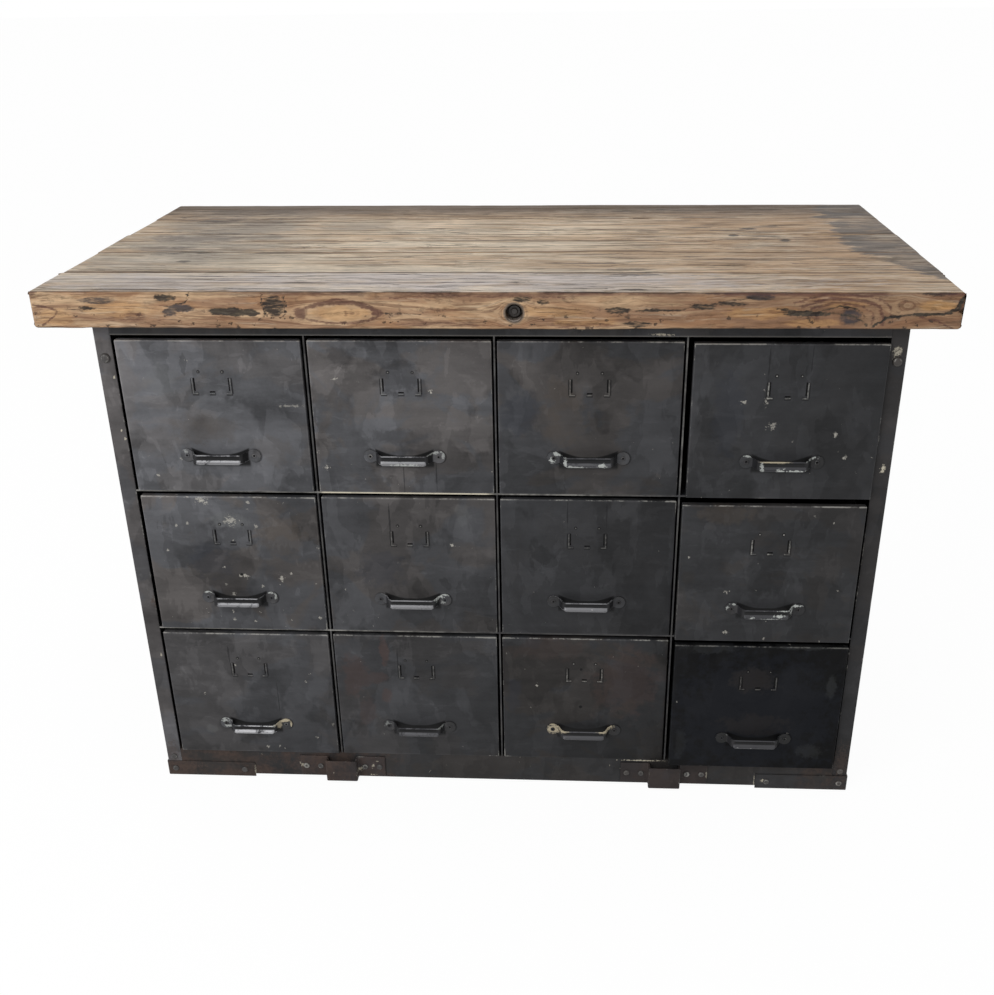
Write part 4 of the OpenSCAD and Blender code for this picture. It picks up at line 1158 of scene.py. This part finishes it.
def foldedSheet(look, width, high, slots):
    # the front as one skin with its slots, folded back at the sides and the top
    edge, half = look["edge"], width / 2
    us = spread([v for s in slots for v in s[:2]] + [edge - half, half - edge], -half, half, look["pitch"])
    ws = spread([v for s in slots for v in s[2:]] + [edge, high - edge], 0.0, high, look["pitch"])
    bm = bmesh.new()
    grid = [[bm.verts.new((u, 0, w)) for u in us] for w in ws]
    for j in range(len(ws) - 1):
        for i in range(len(us) - 1):
            u, w = (us[i] + us[i + 1]) / 2, (ws[j] + ws[j + 1]) / 2
            if not any(a < u < b and c < w < d for a, b, c, d in slots):
                bm.faces.new((grid[j][i], grid[j][i + 1], grid[j + 1][i + 1], grid[j + 1][i]))
    rim = [row[0] for row in grid] + grid[-1][1:] + [row[-1] for row in grid[-2::-1]]
    back = [bm.verts.new((v.co.x, look["fold"], v.co.z)) for v in rim]
    for a, b, c, d in zip(rim, rim[1:], back[1:], back):
        bm.faces.new((a, b, c, d))
    bmesh.ops.recalc_face_normals(bm, faces=bm.faces)
    bm.faces.ensure_lookup_table()
    if sum(f.normal.y * f.calc_area() for f in bm.faces if abs(f.normal.y) > 0.9) > 0:
        bmesh.ops.reverse_faces(bm, faces=bm.faces)
    bends = [bm.edges.get((a, b)) for a, b in zip(rim, rim[1:])]
    bends += [bm.edges.get((rim[i], back[i])) for i in (len(ws) - 1, len(ws) + len(us) - 2)]
    bmesh.ops.bevel(bm, geom=bends, offset=look["bend"], segments=3, profile=0.5, affect="EDGES")
    return bm


def addTabs(bm, look, labelUp):
    # a hooked tab at each side of the label, a plain one between them and two pips above
    side, low = look["labelWide"] / 2, labelUp - look["labelHigh"] / 2
    wide, foot, tall = look["tabWide"], look["tabFoot"], look["tabHigh"]
    hook = [(side, low), (side, low + tall), (side - wide, low + tall)]
    hook += [(side - wide, low + wide), (side - foot, low + wide), (side - foot, low)]
    mirrored = [(-u, w) for u, w in reversed(hook)]
    bar = [(-foot / 2, low), (foot / 2, low), (foot / 2, low + wide), (-foot / 2, low + wide)]
    for tab in (hook, mirrored, bar):
        addPlate(bm, tab, look["root"], -look["tabOut"])
    turns = [math.radians(a) for a in range(0, 360, 30)]
    for way in (-1, 1):
        pipX, pipZ = way * look["pipX"], labelUp + look["pipUp"]
        ring = [(pipX + look["pipR"] * math.cos(a), pipZ + look["pipR"] * math.sin(a)) for a in turns]
        addPlate(bm, ring, look["root"], -look["pipOut"], look["pipSlope"])


def makeFront(key):
    look = panLook
    lo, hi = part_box("front_" + key)
    width, high = hi.x - lo.x, hi.z - lo.z
    labelUp = high - look["labelDown"]
    bm = foldedSheet(look, width, high, slotBoxes(look, labelUp))
    seed = int(key) * 1.7
    for v in bm.verts:
        inner = min(width / 2 - abs(v.co.x), high - v.co.z, v.co.z + 0.004)
        if v.co.y < 0.0005:
            dent = look["dent"] * wave((v.co.x * 11 + seed, v.co.z * 11, seed))
            v.co.y += dent * share(inner / 0.03)
    mesh = bpy.data.meshes.new("pan" + key)
    bm.to_mesh(mesh)
    bm.free()
    pan = linkNew("panWork", mesh)
    wall = pan.modifiers.new("wall", "SOLIDIFY")
    wall.thickness, wall.offset, wall.use_even_offset = look["sheet"], -1.0, True
    finishMesh(pan)
    done = pan.data
    bm = bmesh.new()
    bm.from_mesh(done)
    addTabs(bm, look, labelUp)
    bm.to_mesh(done)
    bm.free()
    bpy.data.objects.remove(pan)
    local = [tuple(v.co) for v in done.vertices]
    putVectors(done, "sheet", [(x, z, y) for x, y, z in local])
    putVectors(done, "panel", [(width / 2, high, 0.0)] * len(local))
    done.transform(Matrix.Translation(((lo.x + hi.x) / 2, hi.y - look["fold"], lo.z)))
    smooth(done, 40)
    return done


# pulls: one pressed strap with round ears and a grip pressed to a trough that is open to the front

pullLook = dict(up=0.064, earX=0.056, earR=0.011, thick=0.002, legX=0.046, gripX=0.039, out=0.018,
                rise=0.007, drop=0.008, troughX=0.036, trough=0.009, browDeg=45, lipDeg=65, neck=0.008,
                bend=0.003, step=0.0018, rows=22, soft=0.00045)


def strapPath(look):
    # middle line of the strap seen from above, with rounded bends
    t = look["thick"] / 2
    tip = look["earX"] + look["earR"]
    right = [(look["gripX"], look["out"] - t), (look["legX"], t), (tip, t)]
    corners = [(-x, y) for x, y in reversed(right)] + right
    pts = [Vector(corners[0])]
    for a, b, c in zip(corners, corners[1:], corners[2:]):
        a, b, c = Vector(a), Vector(b), Vector(c)
        p, q = b + (a - b).normalized() * look["bend"], b + (c - b).normalized() * look["bend"]
        pts += [p.lerp(b, s).lerp(b.lerp(q, s), s) for s in (0.0, 0.25, 0.5, 0.75, 1.0)]
    pts.append(Vector(corners[-1]))
    out = [pts[0]]
    for a, b in zip(pts, pts[1:]):
        parts = max(1, math.ceil((b - a).length / look["step"]))
        out += [a.lerp(b, k / parts) for k in range(1, parts + 1)]
    return out


def makePull(key):
    look = pullLook
    lo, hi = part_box("front_" + key)
    face, midX = hi.y - panLook["fold"], (lo.x + hi.x) / 2
    rows = look["rows"]
    brow, lip = math.radians(look["browDeg"]), math.radians(look["lipDeg"])
    verts, wear, sootAndShade, ears, faces = [], [], [], [], []
    path = strapPath(look)
    for p in path:
        x = abs(p.x)
        reach = math.sqrt(max(0.0, look["earR"] ** 2 - (x - look["earX"]) ** 2))
        if x > look["earX"]:
            up = down = max(reach, 0.0004)
        else:
            near = share((look["earX"] - x) / look["neck"])
            up, down = max(reach, look["rise"] * near), max(reach, look["drop"] * near)
        curled = share((look["troughX"] + 0.0012 - x) / 0.0016)
        onEar = share((x - look["legX"] + 0.001) / 0.002)
        for r in range(rows + 1):
            s = r / rows
            turn = brow - (brow + lip) * s
            plainZ = up - (up + down) * s
            z = plainZ + (look["trough"] * math.sin(turn) - plainZ) * curled
            y = p.y + look["trough"] * (1 - math.cos(turn)) * curled
            verts.append((midX + p.x, face - y, lo.z + look["up"] + z))
            # bright lines: rubbed metal, also a painted highlight on the lip, the brow's top edge, the leg
            # edges and the ears' upper rims, stronger on the left ear
            rubAndHighlight = curled * max(0.95 * (s > 0.57), 0.8 * (s < 0.06))
            rubAndHighlight = max(rubAndHighlight, (1 - curled) * (1 - onEar) * (0.5 if s < 0.06 or s > 0.94 else 0.0))
            rubAndHighlight = max(rubAndHighlight, onEar * 0.6 * math.exp(-(up - z) / 0.001) * (1.0 if p.x < 0 else 0.6))
            wear.append(rubAndHighlight)
            # painted shade on the legs, darkest on the right one, and inside the trough between brow and
            # lip
            legShade = (1 - curled) * (1 - onEar) * (0.95 if p.x > 0 else 0.6)
            sootAndShade.append(max(legShade, curled * share((s - 0.05) / 0.05) * share((0.60 - s) / 0.05)))
            ears.append(onEar)
    n = rows + 1
    for k in range(len(path) - 1):
        for r in range(rows):
            faces.append((k * n + r, (k + 1) * n + r, (k + 1) * n + r + 1, k * n + r + 1))
    mesh = meshFrom("pull" + key, verts, faces, 40)
    for name, values in (("wear", wear), ("sootAndShade", sootAndShade), ("ear", ears)):
        putFloats(mesh, name, values)
    outwardFaces(mesh)
    piece = linkNew("pullWork", mesh)
    wall = piece.modifiers.new("wall", "SOLIDIFY")
    wall.thickness, wall.offset = look["thick"], 0.0
    soft = piece.modifiers.new("soft", "BEVEL")
    soft.width, soft.segments = look["soft"], 2
    soft.limit_method, soft.angle_limit = "ANGLE", math.radians(50)
    finishMesh(piece)
    done = piece.data
    smooth(done, 45)
    bpy.data.objects.remove(piece)
    return done


# rivets and bolt heads by geometry nodes

def makeRivetTree():
    tree = bpy.data.node_groups.new("rivetSet", "GeometryNodeTree")
    ids = {}
    tree.interface.new_socket("Geometry", in_out="INPUT", socket_type="NodeSocketGeometry")
    values = dict(Radius=0.006, Height=0.003, Dimple=0.0, Bore=0.0, Uneven=0.1, Seed=7, Finish=None)
    kinds = {float: "NodeSocketFloat", int: "NodeSocketInt", type(None): "NodeSocketMaterial"}
    for label, value in values.items():
        socket = tree.interface.new_socket(label, in_out="INPUT", socket_type=kinds[type(value)])
        if value is not None:
            socket.default_value = value
        ids[label] = socket.identifier
    tree.interface.new_socket("Geometry", in_out="OUTPUT", socket_type="NodeSocketGeometry")
    inp, out = wires(addNode(tree, "NodeGroupInput")), addNode(tree, "NodeGroupOutput").inputs
    ball = addNode(tree, "GeometryNodeMeshUVSphere", dict(Segments=28, Rings=24, Radius=1.0))
    place = wires(addNode(tree, "GeometryNodeInputPosition"))["Position"]
    axes = split(place)
    radial = calc("SQRT", axes[0] * axes[0] + axes[1] * axes[1])
    outer = calc("GREATER_THAN", axes[2], 0.0)
    dome = most(axes[2], 0.0) ** 0.8 * inp["Height"] * (cloud(place, 1.8, 2) * 0.3 + 0.85)
    sink = inp["Dimple"] * calc("EXPONENT", radial * radial * -9.0) * outer
    shape = join(axes[0] * inp["Radius"], sink - dome, axes[1] * inp["Radius"])
    # masks kept for the finish: the bore, painted black as the shade inside it, and the rubbed crown
    mesh = wires(ball)["Mesh"]
    bored = calc("LESS_THAN", radial, inp["Bore"]) * outer
    crown = 1.0 - abs(radial - 0.7)
    for name, value in (("hole", bored), ("wear", crown)):
        inputs = dict(Geometry=mesh, Name=name, Value=value)
        store = addNode(tree, "GeometryNodeStoreNamedAttribute", inputs, data_type="FLOAT", domain="POINT")
        mesh = wires(store)["Geometry"]
    formed = addNode(tree, "GeometryNodeSetPosition", dict(Geometry=mesh, Position=shape))
    around = {0: (0, 0, 0), 1: (0, 6.28, 0), "Seed": inp["Seed"]}
    turn = addNode(tree, "FunctionNodeRandomValue", around, data_type="FLOAT_VECTOR")
    between = {2: 1.0 - inp["Uneven"], 3: 1.0, "Seed": inp["Seed"]}
    size = addNode(tree, "FunctionNodeRandomValue", between, data_type="FLOAT")
    inputs = dict(Points=inp["Geometry"], Instance=Wire(formed.outputs[0]), Rotation=Wire(turn.outputs[0]),
                  Scale=Wire(size.outputs[1]))
    copies = addNode(tree, "GeometryNodeInstanceOnPoints", inputs)
    real = addNode(tree, "GeometryNodeRealizeInstances", [Wire(copies.outputs[0])])
    inputs = dict(Geometry=Wire(real.outputs[0]), Material=inp["Finish"])
    feed(out[0], Wire(addNode(tree, "GeometryNodeSetMaterial", inputs).outputs[0]))
    return tree, ids


rivetTree, rivetIds = makeRivetTree()


fixingLook = dict(ear=dict(Radius=0.0042, Height=0.0016, Dimple=0.0022, Bore=0.42),
                  bolt=dict(Radius=0.008, Height=0.005),
                  rivet=dict(Radius=0.006, Height=0.003, Dimple=0.0012), boltIn=0.01325, boltUp=0.814,
                  footUp=0.041, plateIn=0.146, plateUp=0.0155,
                  strapOff=(-0.069, -0.042, 0.042, 0.069), strapUp=0.029)


def makeRivets(name, places, sizes, finish, seed):
    mesh = bpy.data.meshes.new(name)
    mesh.from_pydata(places, [], [])
    work = linkNew(name + "Work", mesh)
    maker = work.modifiers.new("rivets", "NODES")
    maker.node_group = rivetTree
    for label, value in dict(sizes, Uneven=0.08, Seed=seed, Finish=finish).items():
        maker[rivetIds[label]] = value
    finishMesh(work)
    done = work.data
    done.shade_smooth()
    bpy.data.objects.remove(work)
    return done


def joinMeshes(name, meshes):
    bm = bmesh.new()
    for mesh in meshes:
        bm.from_mesh(mesh)
    whole = bpy.data.meshes.new(name)
    bm.to_mesh(whole)
    bm.free()
    return whole


for r in (1, 2, 3):
    for c in (1, 2, 3, 4):
        key = "%d%d" % (r, c)
        body = "drawer_" + key
        newPiece("pan" + key, makeFront(key), body, drawerPaint(key), "drawer_steel", "front_" + key)
        newPiece("bowPull" + key, makePull(key), body, pullSteel(key, r, c), "pull_steel", "pull_" + key)
        lo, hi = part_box("front_" + key)
        x, y, z = (lo.x + hi.x) / 2, hi.y - panLook["fold"] - pullLook["thick"], lo.z + pullLook["up"]
        places = [(x - pullLook["earX"], y, z), (x + pullLook["earX"], y, z)]
        ears = makeRivets("earRivets" + key, places, fixingLook["ear"], earSteel, r * 10 + c)
        newPiece("earRivets" + key, ears, body, None, "pull_steel")
print("drawers made")


def makeFixings():
    look, left, right = fixingLook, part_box("post_front_left"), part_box("post_front_right")
    front, plate = left[0].y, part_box("corner_plate_left")[0].y
    bolts, rivets = [], []
    for edge, way in ((left[0].x, 1), (right[1].x, -1)):
        x = edge + way * look["boltIn"]
        bolts.append((x, front, look["boltUp"]))
        rivets.append((x, front, look["footUp"]))
        rivets += [(x, plate, look["plateUp"]), (edge + way * look["plateIn"], plate, look["plateUp"])]
    for name in ("socket_left", "socket_right"):
        lo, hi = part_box(name)
        mid, y = (lo.x + hi.x) / 2, hi.y - strapLook["thick"]
        rivets += [(mid + off, y, look["strapUp"]) for off in look["strapOff"]]
    parts = [makeRivets("postBolts", bolts, look["bolt"], rivetSteel, 3)]
    parts.append(makeRivets("plinthRivets", rivets, look["rivet"], rivetSteel, 5))
    parts += [makeNut(way) for way in (-1, 1)]
    whole = joinMeshes("frameFixings", parts)
    smooth(whole, 35)
    newPiece("frameFixings", whole, "frame", rivetSteel, "fixing_steel", "fixings")


def makeNut(way):
    # washer, chamfered nut and the end of the tie rod, down in the counterbore
    look = tieBolt
    base = (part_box("plank_1")[0].y if way < 0 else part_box("plank_5")[1].y) - way * look["depth"]

    flat, nutR, rod = look["flats"] / 2, look["flats"] / math.sqrt(3), look["rod"]
    nut, top = look["washerHigh"], look["washerHigh"] + look["nutHigh"]
    # rings from the washer out to the rod's end: radius, depth, hexagonal
    wide = look["washer"]
    steps = [(wide, 0.0, False), (wide, nut - 0.0004, False), (wide - 0.0004, nut, False)]
    steps += [(nutR, nut, True), (nutR, top - 0.0012, True), (flat, top, True), (rod + 0.0002, top, False)]
    steps += [(rod - 0.0005 * (k % 2), top + 0.0005 + 0.0004 * k, False) for k in range(6)]
    steps.append((rod - 0.001, look["rodHigh"], False))
    verts = []
    for radius, depth, hexed in steps:
        for k in range(look["sides"]):
            a = 2 * math.pi * k / look["sides"]
            reach = min(radius, flat / math.cos((a % (math.pi / 3)) - math.pi / 6)) if hexed else radius
            x, z = look["x"] - way * reach * math.cos(a), look["z"] + reach * math.sin(a)
            verts.append((x, base + way * depth, z))
    mesh = meshFrom("tieNut", verts, tubeFaces(len(steps), look["sides"]))
    outwardFaces(mesh)
    putFloats(mesh, "wear", [0.4] * len(mesh.vertices))
    return mesh


makeFixings()
print("fixings made")


# finishes of the carried-over sheets

finishes = dict(tray=trayPaint, shelf=gridSteel, divider=gridSteel, base_pan=plinthPaint,
                top_frame=railPaint, side=carcassPaint, back_panel=carcassPaint)
for name in nodes:
    for start, paint in finishes.items():
        if name.startswith(start):
            dress(nodes[name].data, paint)


# camera, light and floor

cameraLook = dict(place=(0.1400, -2.1180, 1.3432), lens=42.292, pan=3.392, tilt=-26.889, roll=0.713,
                  shift=(-0.0182, 0.0765))
lightLook = dict(sky=0.55, keyPower=75.0, keyPlace=(-2.4, -3.4, 3.0), keySize=2.6, floorTone=0.8,
                 floorGlow=1.03, floorMix=0.93)


def makeCamera():
    look = cameraLook
    data = bpy.data.cameras.new("camera")
    camera = linkNew("camera", data)
    place = Matrix.Translation(look["place"])
    for degrees, axis in ((look["pan"], "Z"), (look["tilt"], "X"), (look["roll"], "Y"), (90, "X")):
        place = place @ Matrix.Rotation(math.radians(degrees), 4, axis)
    camera.matrix_world = place
    data.sensor_width, data.lens = 36.0, look["lens"]
    data.shift_x, data.shift_y = look["shift"]
    data.clip_end = 200
    bpy.context.scene.camera = camera


def seenDirectly(tree):
    # 1 for camera, glossy and transmitted rays
    path = wires(addNode(tree, "ShaderNodeLightPath"))
    seen = path["Is Camera Ray"] + path["Is Glossy Ray"]
    return calc("ADD", seen, path["Is Transmission Ray"], clamp=True)


def makeLight():
    look = lightLook
    world = bpy.data.worlds.new("studio")
    bpy.context.scene.world = world
    world.use_nodes = True
    tree = world.node_tree
    back = tree.nodes["Background"]
    back.inputs["Color"].default_value = (1, 1, 1, 1)
    feed(back.inputs["Strength"], seenDirectly(tree) * (1.0 - look["sky"]) + look["sky"])
    data = bpy.data.lights.new("key", "AREA")
    data.energy, data.size = look["keyPower"], look["keySize"]
    key = linkNew("key", data)
    aim = Vector((0, -0.2, 0.5)) - Vector(look["keyPlace"])
    turn = aim.to_track_quat("-Z", "Y").to_matrix().to_4x4()
    key.matrix_world = Matrix.Translation(look["keyPlace"]) @ turn


def makeFloor():
    look = lightLook
    corners = [(-60, -60), (60, -60), (60, 60), (-60, 60)]
    mesh = meshFrom("floor", [(x, y, -0.0002) for x, y in corners], [(0, 1, 2, 3)])
    floor = linkNew("floor", mesh)
    material = bpy.data.materials.new("floorWhite")
    material.use_nodes = True
    tree = material.node_tree
    tree.nodes.remove(tree.nodes["Principled BSDF"])
    plain = addNode(tree, "ShaderNodeBsdfDiffuse", dict(Color=(look["floorTone"],) * 3))
    glow = addNode(tree, "ShaderNodeEmission", dict(Strength=look["floorGlow"]))
    inputs = [seenDirectly(tree) * look["floorMix"], Wire(plain.outputs[0]), Wire(glow.outputs[0])]
    blend = addNode(tree, "ShaderNodeMixShader", inputs)
    feed(tree.nodes["Material Output"].inputs["Surface"], Wire(blend.outputs[0]))
    mesh.materials.append(material)
    floor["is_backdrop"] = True


makeCamera()
makeLight()
makeFloor()
bpy.context.scene.view_settings.view_transform = "Standard"
print("camera and light made")

lo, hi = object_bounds()
